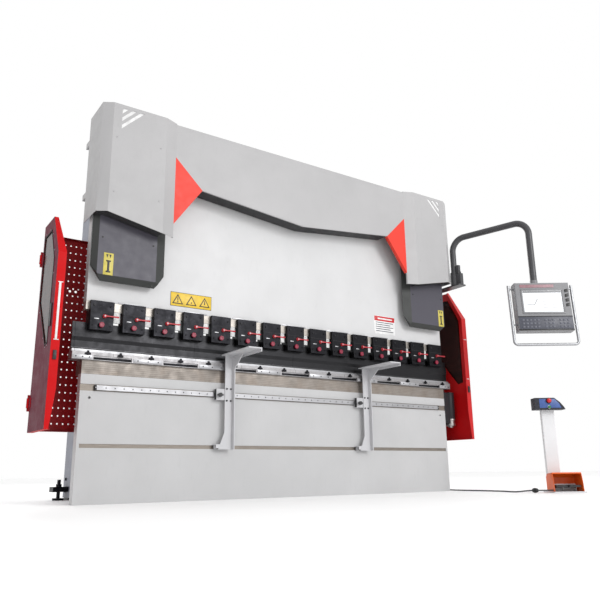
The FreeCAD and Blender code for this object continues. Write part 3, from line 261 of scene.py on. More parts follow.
def ram_paint():
    """Light paint above, bare ground steel on the toe that the clamps hook over."""
    look = paint("ram_paint", (228, 228, 229))
    toe = look.calc("LESS_THAN", look.along("Z"), clamp_high.z - 0.0005)
    look.colour(look.mix(toe, look.base(), ground(look, (176, 168, 160), (214, 208, 200))))
    look.feed(look.surface.inputs["Metallic"], look.calc("MULTIPLY", toe, 0.7))
    return look


def bed_paint():
    """Light paint with two milled bands of bare steel."""
    look = paint("bed_paint", (210, 210, 211))
    milled = look.between(look.along("Y"), bed_low.y + 0.003, bed_low.y + 0.005)
    look.colour(look.mix(milled, look.base(), ground(look, (126, 118, 110), (170, 162, 153))))
    look.feed(look.surface.inputs["Metallic"], look.calc("MULTIPLY", milled, 0.8))
    return look


def table_steel():
    """Ground steel with a warm tint and the rows left by the cutter."""
    look = steel("table_steel", (168, 161, 154), 0.52, tint=(156, 142, 130))
    rows = look.lines("Z", 0.0125, 0.16)
    look.colour(look.mix(look.calc("MULTIPLY", rows, 0.5), look.base(), linear(112, 98, 88)))
    return look


def holder_steel():
    """Bright die holder with fine rows on its upper edge and a joint at each section."""
    look = steel("holder_steel", (190, 188, 190), 0.44)
    fine = look.lines("Z", 0.0042, 0.3)
    upper = look.calc("GREATER_THAN", look.along("Z"), holder_high.z - 0.018)
    rows = look.calc("MULTIPLY", fine, upper)
    joints = look.lines("X", slot_pitch, 0.004)
    dark = look.calc("MAXIMUM", look.calc("MULTIPLY", rows, 0.6), joints)
    look.colour(look.mix(dark, look.base(), linear(70, 68, 66)))
    return look


def die_steel():
    """Bright die with a joint at the end of each section."""
    look = steel("die_steel", (190, 190, 193), 0.36)
    look.colour(look.mix(look.lines("X", section_length, 0.002), look.base(), linear(30, 30, 30)))
    return look


def punch_steel():
    """Blackened punch with a brighter ground tip and a joint at the end of each section."""
    look = steel("punch_steel", (58, 58, 60), 0.34)
    tip = look.spread(look.along("Z"), 1, 0, punch_low.z + 0.004, punch_low.z + 0.012)
    tone = look.mix(tip, look.base(), linear(150, 150, 152))
    look.colour(look.mix(look.lines("X", section_length, 0.002), tone, linear(8, 8, 8)))
    return look


def guard_left_paint():
    """Red paint, darker and cooler on the outer face, which is turned away from the light."""
    look = paint("guard_left_paint", (218, 14, 20), 0.5, 0.0)
    outer = look.calc("LESS_THAN", look.facing("X"), -0.9)
    look.colour(look.mix(outer, look.base(), linear(104, 12, 44)))
    look.surface.inputs["Specular IOR Level"].default_value = 0.12
    return look


def ram_cover_paint():
    """Dark bluish front; the bevels get a darker, neutral grey that is painted shade."""
    look = paint("ram_cover_paint", (86, 84, 94), 0.44, 0.08)
    front = look.calc("LESS_THAN", look.facing("Y"), -0.97)
    # The bevels, picked out by the way they face, are coloured darker as painted shade.
    look.colour(look.mix(front, linear(62, 64, 63), look.base()))
    return look


def clamp_black():
    """Black oxide with worn grey edges and a fine machined grain."""
    look = steel("clamp_black", (44, 44, 47), 0.38, "Z")
    worn = look.spread(look.noise(0.012, 6), 0, 0.5, 0.6, 0.8)
    look.colour(look.mix(worn, look.base(), linear(84, 84, 88)))
    return look


def smoked():
    """Dark tinted sheet, slightly streaked by wiping."""
    look = Shader("smoked_window", 0.12)
    streak = look.spread(look.noise(0.03, 5, (1, 0.2, 1)), 0, 1)
    look.colour(look.mix(streak, linear(34, 18, 16), linear(66, 32, 28)))
    look.rough(look.spread(look.noise(0.08, 4), 0.08, 0.2))
    look.surface.inputs["Alpha"].default_value = 0.94
    look.surface.inputs["Specular IOR Level"].default_value = 0.2
    return look


def screen_glass():
    """Pale lit display, slightly uneven."""
    look = Shader("screen_glass", 0.12)
    glow = look.spread(look.noise(0.2, 2), 0, 1)
    tone = look.mix(glow, linear(236, 240, 244), linear(250, 251, 253))
    look.colour(tone)
    look.feed(look.surface.inputs["Emission Color"], tone)
    look.surface.inputs["Emission Strength"].default_value = 0.35
    look.rough(look.spread(look.noise(0.02, 4), 0.08, 0.16))
    return look


looks = {
    # The side frames' blue-grey is partly their paint and partly painted shade: it is set between their lit and
    # shaded tone.
    "frame_paint": paint("frame_paint", (146, 149, 162), dust=0.5),
    "body_paint": paint("body_paint", (216, 216, 219), dust=0.3),
    "cover_paint": paint("cover_paint", (192, 191, 192), dust=0.4),
    "stand_white": paint("stand_white", (244, 244, 246)),
    "cast_drive": paint("cast_drive", (44, 44, 48), 0.5, 0.1, 0.12, 0.004, 0.0008),
    "bed_paint": bed_paint(),
    "ram_paint": ram_paint(),
    "ram_cover_paint": ram_cover_paint(),
    "guard_left_paint": guard_left_paint(),
    "ground_steel": table_steel(),
    "holder_steel": holder_steel(),
    "die_steel": die_steel(),
    "punch_steel": punch_steel(),
    "blackened_steel": clamp_black(),
    "smoked_window": smoked(),
    "screen_glass": screen_glass(),
}
for name, rgb, roughness, coat in (
    ("red_paint", (218, 14, 20), 0.42, 0.05),
    # The guard screens' red is set darker than red_paint as painted shade.
    ("screen_red_painted_shade", (168, 3, 17), 0.42, 0.05),
    ("coral_paint", (248, 64, 46), 0.42, 0.03),
    # cover_shade is a dark grey used as painted shade under the covers, and for the dark split line on the clamps.
    ("cover_shade", (56, 56, 58), 0.6, 0.05),
    ("blue_paint", (78, 96, 130), 0.45, 0.15),
    ("tube_paint", (74, 74, 77), 0.4, 0.25),
    ("case_paint", (138, 138, 141), 0.42, 0.15),
    ("hood_orange", (252, 106, 26), 0.42, 0.1),
):
    looks[name] = paint(name, rgb, roughness, coat)
for name, rgb, roughness, along in (
    ("bright_steel", (196, 196, 199), 0.4, "X"),
    ("aluminium", (198, 199, 202), 0.44, "X"),
    ("polished_tube", (190, 191, 194), 0.36, "Z"),
    ("drive_cap", (196, 192, 190), 0.34, "Z"),
):
    looks[name] = steel(name, rgb, roughness, along)
for name, rgb, roughness in (
    ("lever_red", (200, 40, 54), 0.32),
    ("knob_red", (156, 30, 62), 0.34),
    ("black_plastic", (38, 38, 41), 0.48),
    ("console_navy", (18, 21, 38), 0.6),
    ("panel_blue", (66, 98, 168), 0.42),
    ("button_red", (216, 26, 26), 0.26),
    ("button_green", (28, 128, 60), 0.3),
    ("cable_jacket", (74, 74, 78), 0.62),
    ("gasket", (26, 26, 28), 0.7),
    ("sign_yellow", (246, 206, 48), 0.4),
    ("sign_black", (22, 22, 22), 0.45),
    ("sign_white", (250, 250, 250), 0.4),
    ("sign_red", (214, 30, 36), 0.4),
    ("label_yellow", (222, 206, 92), 0.4),
    ("keypad_key", (84, 86, 99), 0.42),
    ("keypad_slate", (78, 80, 92), 0.4),
    ("pendant_strip", (166, 126, 133), 0.4),
):
    looks[name] = moulded(name, rgb, roughness)

node_looks = {
    "ram": "ram_paint",
    "bed_plate": "bed_paint",
    "die_holder": "holder_steel",
    "lower_die": "die_steel",
    "punch": "punch_steel",
    "ram_covers": "ram_cover_paint",
    # The screens take the darker red, which is painted shade.
    "guard_screens": "screen_red_painted_shade",
    "guard_door_left": "guard_left_paint",
}
for row in frame["record"]["subparts"]:
    name = row["node"]
    materials = nodes[name].data.materials
    materials.clear()
    materials.append(looks[node_looks.get(name, row["material_slot"])].material)


# ---- softened edges on the CAD nodes
edge_segments = 2


def soften(name, width):
    """Breaks a CAD node's sharp edges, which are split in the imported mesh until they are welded."""
    weld = nodes[name].modifiers.new("weld", "WELD")
    weld.merge_threshold = 0.00001
    edge = nodes[name].modifiers.new("edge", "BEVEL")
    edge.width = width
    edge.segments = edge_segments
    edge.limit_method = "ANGLE"
    edge.angle_limit = math.radians(40)
    edge.use_clamp_overlap = True


for width, names in {
    0.0010: ("bed_table", "support_arm_left", "support_arm_right", "electric_cabinet", "cabinet_door",
             "backgauge_finger_left", "backgauge_finger_right"),
    0.0012: ("bed_plate", "tool_clamps", "ram", "column_covers"),
    0.0015: ("ram_covers", "foot_switch_base", "backgauge_beam"),
    0.0020: ("cylinders", "oil_tank", "pendant_bracket"),
    0.0025: ("pedal_left", "pedal_right", "stand_console"),
    0.0030: ("pendant_case", "crowning_motor"),
    0.0040: ("foot_switch_hood",),
}.items():
    for name in names:
        soften(name, width)


# ---- shaped pieces
def upright(corners, y, x=0, z=0):
    """Pairs of (across, up) as points on the plane at depth y, measured from x and z."""
    return [(x + across, y, z + up) for across, up in corners]


def strip(start, end, y, rise):
    """Outline of a straight band between two (x, z) points at depth y, rising by rise."""
    (xa, za), (xb, zb) = start, end
    return upright(((xa, za), (xb, zb), (xb, zb + rise), (xa, za + rise)), y)


def shown(name, data):
    """A new object in the scene for some data."""
    made = bpy.data.objects.new(name, data)
    bpy.context.scene.collection.objects.link(made)
    return made


class Form:
    """Gathers several shaped solids in one mesh, each with its own material."""

    def __init__(self, place=None):
        self.whole = bmesh.new()
        self.place = place or Matrix.Identity(4)
        self.names = []

    def add(self, solid, look):
        if look not in self.names:
            self.names.append(look)
        bmesh.ops.recalc_face_normals(solid, faces=solid.faces[:])
        for face in solid.faces:
            face.material_index = self.names.index(look)
        solid.transform(self.place)
        mesh = bpy.data.meshes.new("solid")
        solid.to_mesh(mesh)
        solid.free()
        self.whole.from_mesh(mesh)
        bpy.data.meshes.remove(mesh)

    def block(self, low, high, look, edge=0.001, turn=None):
        """A box between two opposite corners, which may come in either order."""
        solid = bmesh.new()
        bmesh.ops.create_cube(solid, size=1)
        low, high = Vector(low), Vector(high)
        size = high - low
        solid.transform(Matrix.Translation((low + high) / 2) @ (turn or Matrix.Identity(4))
                        @ Matrix.Diagonal((abs(size.x), abs(size.y), abs(size.z), 1)))
        self.break_edges(solid, edge)
        self.add(solid, look)

    def break_edges(self, solid, width):
        bmesh.ops.bevel(solid, geom=solid.edges[:], offset=width, segments=edge_segments, profile=0.5,
                        affect="EDGES")

    def plate(self, outline, thickness, look, edge=0.0005):
        """A flat outline of 3-D points, thickened along a vector."""
        solid = bmesh.new()
        face = solid.faces.new([solid.verts.new(point) for point in outline])
        grown = bmesh.ops.extrude_face_region(solid, geom=[face])
        moved = [item for item in grown["geom"] if isinstance(item, bmesh.types.BMVert)]
        bmesh.ops.translate(solid, verts=moved, vec=Vector(thickness))
        self.break_edges(solid, edge)
        self.add(solid, look)

    def turned(self, profile, start, axis, look, sides=28):
        """A profile of (distance along the axis, radius) pairs, turned about the axis."""
        solid = bmesh.new()
        rings = []
        frame_turn = Vector((0, 0, 1)).rotation_difference(Vector(axis)).to_matrix().to_4x4()
        for distance, radius in profile:
            ring = []
            for index in range(sides):
                angle = 2 * math.pi * index / sides
                point = Vector((radius * math.cos(angle), radius * math.sin(angle), distance))
                ring.append(solid.verts.new(frame_turn @ point))
            rings.append(ring)
        for first, second in zip(rings, rings[1:]):
            for index in range(sides):
                following = (index + 1) % sides
                solid.faces.new((first[index], first[following], second[following], second[index]))
        solid.faces.new(list(reversed(rings[0])))
        solid.faces.new(rings[-1])
        solid.transform(Matrix.Translation(Vector(start)))
        self.add(solid, look)

    def screw(self, place, axis, radius, look, height=None):
        """Socket head screw: chamfered head with a sunk socket."""
        high = height or radius * 0.9
        rim = radius * 0.14
        self.turned([
            (0, radius),
            (high - rim, radius),
            (high, radius - rim),
            (high, radius * 0.52),
            (high * 0.45, radius * 0.5),
        ], place, axis, look, 12)

    def piece(self, name, body):
        mesh = bpy.data.meshes.new(name)
        self.whole.to_mesh(mesh)
        self.whole.free()
        for look in self.names:
            mesh.materials.append(looks[look].material)
        for polygon in mesh.polygons:
            polygon.use_smooth = True
        mesh.set_sharp_from_angle(angle=math.radians(32))
        made = shown(name, mesh)
        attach(made, body)
        return made


FRONT = Vector((0, -1, 0))
BACK = Vector((0, 1, 0))
UP = Vector((0, 0, 1))
RIGHT = Vector((1, 0, 0))


# ---- camera, light and floor
def camera():
    data = bpy.data.cameras.new("camera")
    sensor_width, image_width, focal_length = 36, 600, 654.9
    data.lens = sensor_width * focal_length / image_width
    data.sensor_width = sensor_width
    data.clip_end = 100
    made = shown("camera", data)
    yaw, pitch, roll = math.radians(34.35), math.radians(14.65), math.radians(-0.74)
    forward = Vector((math.sin(yaw) * math.cos(pitch), math.cos(yaw) * math.cos(pitch), math.sin(pitch)))
    right = Vector((math.cos(yaw), -math.sin(yaw), 0))
    up = right.cross(forward)
    right, up = (math.cos(roll) * right + math.sin(roll) * up,
                 math.cos(roll) * up - math.sin(roll) * right)
    turn = Matrix((right, up, -forward)).transposed().to_4x4()
    made.matrix_world = Matrix.Translation((-2.674, -4.029, 0.174)) @ turn
    bpy.context.scene.camera = made


def softbox(name, place, aim, size, power):
    data = bpy.data.lights.new(name, "AREA")
    data.shape = "SQUARE"
    data.size = size
    data.energy = power
    made = shown(name, data)
    made.location = place
    made.rotation_euler = (Vector(aim) - Vector(place)).to_track_quat("-Z", "Y").to_euler()


def studio():
    world = bpy.data.worlds.new("studio")
    world.use_nodes = True
    world.node_tree.nodes["Background"].inputs["Color"].default_value = (1, 1, 1, 1)
    world.node_tree.nodes["Background"].inputs["Strength"].default_value = 1.0
    bpy.context.scene.world = world
    softbox("key", (2.2, -8.0, 4.2), (0, 0, 1.3), 3.4, 335)
    softbox("back", (1.0, 7.0, 5.0), (0, 0.3, 1.2), 4.0, 160)
    bpy.context.scene.view_settings.view_transform = "Standard"


def studio_floor():
    look = Shader("studio_floor", 0.6)
    cloud = look.spread(look.noise(0.8, 3), 0, 1)
    look.colour(look.mix(cloud, (0.93, 0.93, 0.93, 1), (0.96, 0.96, 0.96, 1)))
    solid = bmesh.new()
    bmesh.ops.create_grid(solid, x_segments=8, y_segments=8, size=30)
    mesh = bpy.data.meshes.new("studio_floor")
    solid.to_mesh(mesh)
    solid.free()
    mesh.materials.append(look.material)
    made = shown("studio_floor", mesh)
    made.location = (0, 0, -0.0005)


camera()
studio()
studio_floor()

# ---- cable to the foot stand
cable_radius = 0.005
cable_z = cable_radius + 0.0005
hood_wall = stand_place @ Vector((-0.107, 0.040, 0.018))
cable_route = [
    (frame_outer + 0.030, 0.215, 0.096),
    (frame_outer + 0.105, 0.212, 0.088),
    (frame_outer + 0.168, 0.176, 0.044),
    (frame_outer + 0.212, 0.105, 0.015),
    (half_bed + 0.033, 0.005, cable_z + 0.001),
    (half_bed + 0.036, -0.140, cable_z),
    (half_bed + 0.048, -0.290, cable_z),
    (half_bed + 0.044, -0.440, cable_z),
    (half_bed + 0.016, -0.580, cable_z),
    (half_bed - 0.035, -0.680, cable_z),
    (half_bed - 0.073, -0.766, cable_z + 0.001),
    (half_bed - 0.052, -0.858, 0.018),
    (half_bed - 0.012, -0.925, 0.018),
    tuple(hood_wall),
]


def cable():
    data = bpy.data.curves.new("stand_cable_line", "CURVE")
    data.dimensions = "3D"
    spline = data.splines.new("NURBS")
    spline.points.add(len(cable_route) - 1)
    for point, place in zip(spline.points, cable_route):
        point.co = (*place, 1)
    spline.order_u = 3
    spline.use_endpoint_u = True
    spline.resolution_u = 12
    data.bevel_depth = cable_radius
    data.bevel_resolution = 6
    data.use_fill_caps = True
    data.materials.append(looks["cable_jacket"].material)
    made = shown("stand_cable_line", data)
    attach(made, "frame")
    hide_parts("stand_cable")
    return made


def cable_plug():
    """Inline connector: two ribbed shells either side of a coupling ring."""
    start, end = Vector(cable_route[-3]), Vector(cable_route[-2])
    axis = (end - start).normalized()
    form = Form()
    profile = [(-0.022, 0.0075), (-0.020, 0.0120), (-0.012, 0.0150)]
    for index in range(5):
        at = -0.010 + index * 0.004
        profile += [(at, 0.0170), (at + 0.0022, 0.0170), (at + 0.0028, 0.0156)]
    profile += [(0.012, 0.0145), (0.020, 0.0115), (0.022, 0.0075)]
    form.turned(profile, (start + end) / 2, axis, "black_plastic", 32)
    made = form.piece("cable_coupling", "frame")
    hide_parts("cable_connector")
    return made


def cable_relief():
    """Tapered, ribbed relief on the gland's mouth."""
    start, ahead = Vector(cable_route[0]), Vector(cable_route[1])
    form = Form()
    profile = [(-0.002, 0.0098)]
    for index in range(6):
        at = index * 0.006
        radius = 0.0098 - index * 0.0006
        profile += [(at + 0.001, radius), (at + 0.0038, radius - 0.0002), (at + 0.0044, radius - 0.0012),
                    (at + 0.0056, radius - 0.0012)]
    profile.append((0.038, 0.0058))
    form.turned(profile, start, (ahead - start).normalized(), "black_plastic", 24)
    return form.piece("cable_relief", "frame")


line = cable()
cable_plug()
cable_relief()


# ---- tooling and clamps
def clamp_starts():
    return [clamp_low.x + index * clamp_pitch for index in range(clamp_count)]


def clamp_levers():
    """A hub and a tapered, waisted handle for each clamp."""
    face = clamp_low.y
    z = clamp_low.z + 0.090
    taper = ((0.0, 0.0070), (0.030, 0.0035), (0.060, 0.0045), (0.084, 0.0055), (0.090, 0.0030))
    grip = [*taper, *((along, -half) for along, half in reversed(taper))]
    form = Form()
    for x in clamp_starts():
        hub = Vector((x + 0.6 * clamp_width, face, z))
        form.turned([(0, 0.0125), (0.004, 0.0125), (0.005, 0.0110), (0.012, 0.0110), (0.016, 0.0085)],
                    hub, FRONT, "lever_red", 20)
        form.plate(upright(grip, face - 0.006, hub.x, z), (0, -0.009, 0), "lever_red", 0.0018)
        form.screw(hub + FRONT * 0.0155, FRONT, 0.0045, "bright_steel", 0.002)
    made = form.piece("clamp_lever_set", "ram")
    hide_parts("clamp_levers")


def clamp_wheels():
    """Lobed hand knobs with a sunk cap."""
    face = clamp_low.y
    z = clamp_low.z + 0.032
    form = Form()
    for x in clamp_starts():
        centre = Vector((x + 0.48 * clamp_width, face, z))
        form.turned([(0, 0.008), (0.006, 0.008), (0.007, 0.0150), (0.009, 0.0165), (0.017, 0.0160),
                     (0.020, 0.0130), (0.020, 0.0080), (0.0185, 0.0070)], centre, FRONT, "knob_red", 26)
        for index in range(7):
            angle = 2 * math.pi * index / 7
            lobe = centre + Vector((0.0142 * math.cos(angle), 0, 0.0142 * math.sin(angle)))
            form.turned([(0.0080, 0.0026), (0.0095, 0.0034), (0.0165, 0.0034), (0.0180, 0.0024)],
                        lobe, FRONT, "knob_red", 10)
    made = form.piece("clamp_knob_set", "ram")
    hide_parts("clamp_knobs")


def clamp_fittings():
    """Bolts, split line and wedge scale of each clamp, and the white blocks between the clamps."""
    face = clamp_low.y
    top, bottom = clamp_high.z, clamp_low.z
    front = ram_low.y + 0.004
    low = top - spacer_drop - spacer_height
    form = Form()
    for x in clamp_starts():
        for across, z, radius, look, height in (
            (0.024, top - 0.030, 0.0070, "cast_drive", 0.006),
            (0.126, top - 0.030, 0.0060, "blackened_steel", 0.005),
            (0.020, bottom + 0.030, 0.0055, "blackened_steel", 0.004),
            (0.130, bottom + 0.030, 0.0055, "blackened_steel", 0.004),
        ):
            form.screw((x + across, face, z), FRONT, radius, look, height)
        form.block((x + 0.004, face - 0.0010, top - 0.0720), (x + 0.146, face + 0.0006, top - 0.0700),
                   "cover_shade", 0.0004)
        form.block((x + 0.026, face - 0.0010, bottom + 0.068), (x + 0.056, face + 0.0006, bottom + 0.074),
                   "bright_steel", 0.0003)
    for x in clamp_starts()[:-1]:
        left = x + clamp_width + 0.008
        right = x + clamp_pitch - 0.008
        form.block((left, front, low), (right, ram_low.y + 0.020, low + 0.0695), "sign_white", 0.0012)
        form.screw(((left + right) / 2, front, low + 0.055), FRONT, 0.0045, "drive_cap", 0.002)
    form.piece("clamp_fittings", "ram")


def bright_edge_strips():
    """Ground strips above the clamps, one in each second bay."""
    form = Form()
    for x in clamp_starts()[1::2]:
        form.block((x - 0.030, ram_low.y - 0.0022, clamp_high.z + 0.001),
                   (x + clamp_width + 0.030, ram_low.y + 0.0005, clamp_high.z + 0.011),
                   "bright_steel", 0.0006)
    form.piece("ram_edge_strips", "ram")


def die_plates():
    """Screwed plates between the wedge slots and the wedges inside them."""
    face = holder_low.y
    low = holder_low.z + 0.003
    first = -(slot_count - 1) * slot_pitch / 2
    half = (slot_pitch - slot_length) / 2 - 0.008
    reach = slot_length / 2 - 0.004
    wedge = ((-reach, 0.002), (reach, 0.002), (reach, 0.019), (-reach, 0.015))
    form = Form()
    for index in range(slot_count + 1):
        centre = first + (index - 0.5) * slot_pitch
        left = max(centre - half, holder_low.x + 0.004)
        right = min(centre + half, holder_high.x - 0.004)
        form.block((left, face - 0.0035, low), (right, face + 0.0005, low + 0.024), "bright_steel", 0.0008)
        for share in (0.15, 0.5, 0.85):
            at = (left + share * (right - left), face - 0.0035, low + 0.012)
            form.screw(at, FRONT, 0.0042, "blackened_steel", 0.002)
    for index in range(slot_count):
        outline = upright(wedge, face + 0.004, first + index * slot_pitch, low)
        form.plate(outline, (0, 0.003, 0), "blackened_steel", 0.0006)
    form.piece("die_holder_plates", "frame")


def rail_fittings():
    """Sunk screws along the rail and the black clips at its ends."""
    form = Form()
    count = int(2 * rail_high.x / hole_pitch)
    first = -(count - 1) * hole_pitch / 2
    z = (rail_low.z + rail_high.z) / 2
    for index in range(count):
        form.turned([(0, 0.0037), (0.0022, 0.0037), (0.0028, 0.0031), (0.0028, 0.0018), (0.0012, 0.0016)],
                    (first + index * hole_pitch, rail_low.y + 0.0062, z), FRONT, "sign_black", 10)
    for side in (-1, 1):
        form.block((side * rail_high.x, rail_low.y - 0.001, rail_low.z - 0.002),
                   (side * (rail_high.x + 0.012), rail_high.y + 0.001, rail_high.z + 0.002),
                   "black_plastic", 0.0015)
        middle = (side * (rail_high.x + 0.006), rail_low.y - 0.001, z)
        form.screw(middle, FRONT, 0.0035, "bright_steel", 0.0015)
    form.piece("rail_fittings", "frame")


clamp_levers()
clamp_wheels()
clamp_fittings()
bright_edge_strips()
die_plates()
rail_fittings()


# ---- signs
def caution_plate():
    """Yellow plate with three plain symbols."""
    face = ram_low.y
    x0, x1, z0, z1 = -0.992, -0.693, 1.263, 1.355
    z = (z0 + z1) / 2
    form = Form()
    form.block((x0 - 0.003, face - 0.0008, z0 - 0.003), (x1 + 0.003, face + 0.0004, z1 + 0.003),
               "sign_black", 0.0002)
    form.block((x0, face - 0.0012, z0), (x1, face + 0.0004, z1), "sign_yellow", 0.0004)
    for index in range(3):
        x = x0 + (index + 0.5) * (x1 - x0) / 3
        outer = upright(((-0.040, -0.032), (0.040, -0.032), (0, 0.036)), face - 0.0012, x, z)
        inner = upright(((-0.029, -0.026), (0.029, -0.026), (0, 0.023)), face - 0.0020, x, z)
        form.plate(outer, (0, -0.0008, 0), "sign_black", 0.0002)
        form.plate(inner, (0, -0.0005, 0), "sign_yellow", 0.0001)
        dot = (x, face - 0.0025, z - 0.018 + 0.004 * index)
        form.turned([(0, 0.0048), (0.0006, 0.0048)], dot, FRONT, "sign_black", 14)
        if index != 1:
            form.block((x - 0.003, face - 0.0031, z - 0.009), (x + 0.003, face - 0.0024, z + 0.012),
                       "sign_black", 0.0001)
    form.piece("caution_plate", "ram")


def notice_plate():
    """White plate with a red heading bar and plain grey rules."""
    face = ram_low.y
    x0, x1, z0, z1 = 0.793, 1.020, 1.260, 1.414
    form = Form()
    form.block((x0, face - 0.0012, z0), (x1, face + 0.0004, z1), "sign_white", 0.0004)
    form.block((x0 + 0.004, face - 0.0018, z1 - 0.044), (x1 - 0.004, face - 0.0010, z1 - 0.004),
               "sign_red", 0.0002)
    form.block((x0 + 0.040, face - 0.0023, z1 - 0.030), (x1 - 0.030, face - 0.0016, z1 - 0.018),
               "sign_white", 0.0002)
    for index in range(5):
        z = z1 - 0.060 - index * 0.018
        end = x1 - 0.020 - 0.03 * (index % 2)
        form.block((x0 + 0.018, face - 0.0017, z), (end, face - 0.0010, z + 0.006), "keypad_slate", 0.0001)
    form.piece("notice_plate", "ram")


def travel_labels():
    """Yellow labels with an upright travel mark on the ram's end covers."""
    face = ram_cover_low.y
    front = face - 0.0012
    z0, z1 = 1.376, 1.520
    shaft, serif = 0.007, 0.015
    half_mark = ((serif, -0.056), (serif, -0.048), (shaft, -0.044), (shaft, 0.012),
                 (serif, 0.016), (serif, 0.024))
    mark = [*half_mark, *((-across, up) for across, up in reversed(half_mark))]
    arrow = ((-0.007, -0.010), (0.007, -0.010), (0, -0.034))
    form = Form()
    for x in (-1.455, 1.486):
        form.block((x - 0.031, front, z0), (x + 0.031, face + 0.0004, z1), "label_yellow", 0.0004)
        form.plate(upright(mark, front, x, (z0 + z1) / 2), (0, -0.0007, 0), "sign_black", 0.0001)
        for across in (-0.010, 0.010):
            form.plate(upright(arrow, front, x + across, z1), (0, -0.0007, 0), "sign_black", 0.0001)
    form.piece("travel_labels", "ram")


caution_plate()
notice_plate()
travel_labels()


# ---- covers
beam_corner = (0.850, 2.068)
beam_kink_z = 1.978
accent_x = 1.054
accent_low_z = 1.781
cover_edge = ((1.145, 1.686), (1.511, 1.762), (1.570, 1.762))


def cover_details():
    """Screws, dark returns under the beam and the columns that are painted shade of the gaps behind the covers,
    and the pale inserts behind the slots.
    """
    form = Form()
    face = cover_low.y
    for side in (-1, 1):
        for x in (1.180, 1.480):
            for z in (1.90, 2.28):
                form.screw((side * x, face, z), FRONT, 0.0050, "cover_paint", 0.002)
        form.block((side * 1.300, face + 0.0032, 2.338), (side * 1.488, face + 0.0052, 2.502),
                   "sign_white", 0.0002)
        inner, outer, end = ((side * x, z) for x, z in cover_edge)
        # Dark strips under the column covers: painted shade of their hollow undersides.
        form.plate(strip(inner, outer, face + 0.004, 0.003), (0, 0.086, 0), "cover_shade", 0.0006)
        form.plate(strip(outer, end, face + 0.040, 0.003), (0, 0.050, 0), "cover_shade", 0.0006)
    y = beam_low.y + 0.001
    lip = [(-beam_corner[0], beam_corner[1]), (0, beam_kink_z), beam_corner]
    for start, end in zip(lip, lip[1:]):
        form.plate(strip(start, end, y, 0.004), (0, 0.012, 0), "cover_paint", 0.0008)
        raised = [(x, z + 0.001) for x, z in (start, end)]
        # Dark band behind the beam's lip: painted shade of the gap down to the ram.
        form.plate(strip(*raised, y + 0.012, 0.004), (0, 0.110, 0), "cover_shade", 0.0008)
    form.piece("cover_details", "frame")


def accent_edges():
    """Folded edges round the two coloured triangles."""
    form = Form()
    corner_x, corner_z = beam_corner
    edge = ((corner_x, corner_z), (accent_x, accent_low_z), (accent_x, accent_low_z + 0.006),
            (corner_x + 0.005, corner_z + 0.003))
    for side in (-1, 1):
        outline = upright(((side * x, z) for x, z in edge), beam_low.y + 0.001)
        form.plate(outline, (0, 0.030, 0), "coral_paint", 0.0006)
    form.piece("accent_edges", "frame")


def ram_cover_screws():
    form = Form()
    face = ram_cover_low.y
    for side in (-1, 1):
        for x in (1.165, 1.500):
            for z in (1.345, 1.62, 1.86):
                if z > 1.4 or x < 1.2:
                    form.screw((side * x, face, z), FRONT, 0.0055, "sign_black", 0.0025)
    form.piece("ram_cover_screws", "ram")


cover_details()
accent_edges()
ram_cover_screws()


# ---- side guards
guard_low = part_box("guard_door_right")[0]
guard_face = 1.767


def guard_trim(side):
    """Seal round the window, its screws, the pale strip on the flange, a catch and a handle."""
    name = "right" if side > 0 else "left"
    form = Form()
    gap = [(0.235, 1.230), (0.235, 1.668), (0.060, 1.668), (-0.055, 1.460), (-0.055, 0.925), (0.000, 0.915)]
    width = 0.007
    for corner, following in zip(gap, gap[1:] + gap[:1]):
        start, end = Vector(corner), Vector(following)
        run = (end - start).normalized()
        across = Vector((-run.y, run.x))
        before, after = start - run * width, end + run * width
        corners = [before, after, after + across * width, before + across * width]
        form.plate([(side * (guard_face - 0.0005), y, z) for y, z in corners], (side * 0.0030, 0, 0),
                   "gasket", 0.0008)
        for share in (0.2, 0.8):
            at = start.lerp(end, share) - across * 0.012
            form.screw((side * guard_face, at.x, at.y), RIGHT * side, 0.0045, "bright_steel", 0.0022)
    front = guard_low.y
    x0, x1 = sorted((side * 1.748, side * 1.735))
    if side < 0:
        form.block((x0, front - 0.0015, 0.935), (x1, front + 0.0004, 1.279), "sign_white", 0.0004)
    for z in (0.931, 1.279):
        form.block((x0 - 0.006, front - 0.0018, z), (x1 + 0.010, front + 0.0004, z + 0.005),
                   "sign_white", 0.0004)
    form.block((x0 - 0.004, front - 0.0080, 0.815), (x1 + 0.004, front + 0.0004, 0.870),
               "black_plastic", 0.0025)
    handle_x = side * (guard_face + 0.0005)
    form.block((handle_x, -0.105, 1.02), (handle_x + side * 0.006, -0.075, 1.16), "black_plastic", 0.0025)
    form.piece("guard_trim_" + name, "guard_" + name)


for side in (-1, 1):
    guard_trim(side)


# ---- pendant
case_left, case_right = -0.181, 0.261
case_front, case_bottom = -0.045, -0.412
keypad_top = -0.300
glass_left, glass_right, glass_low, glass_high = -0.122, 0.194, -0.259, -0.077


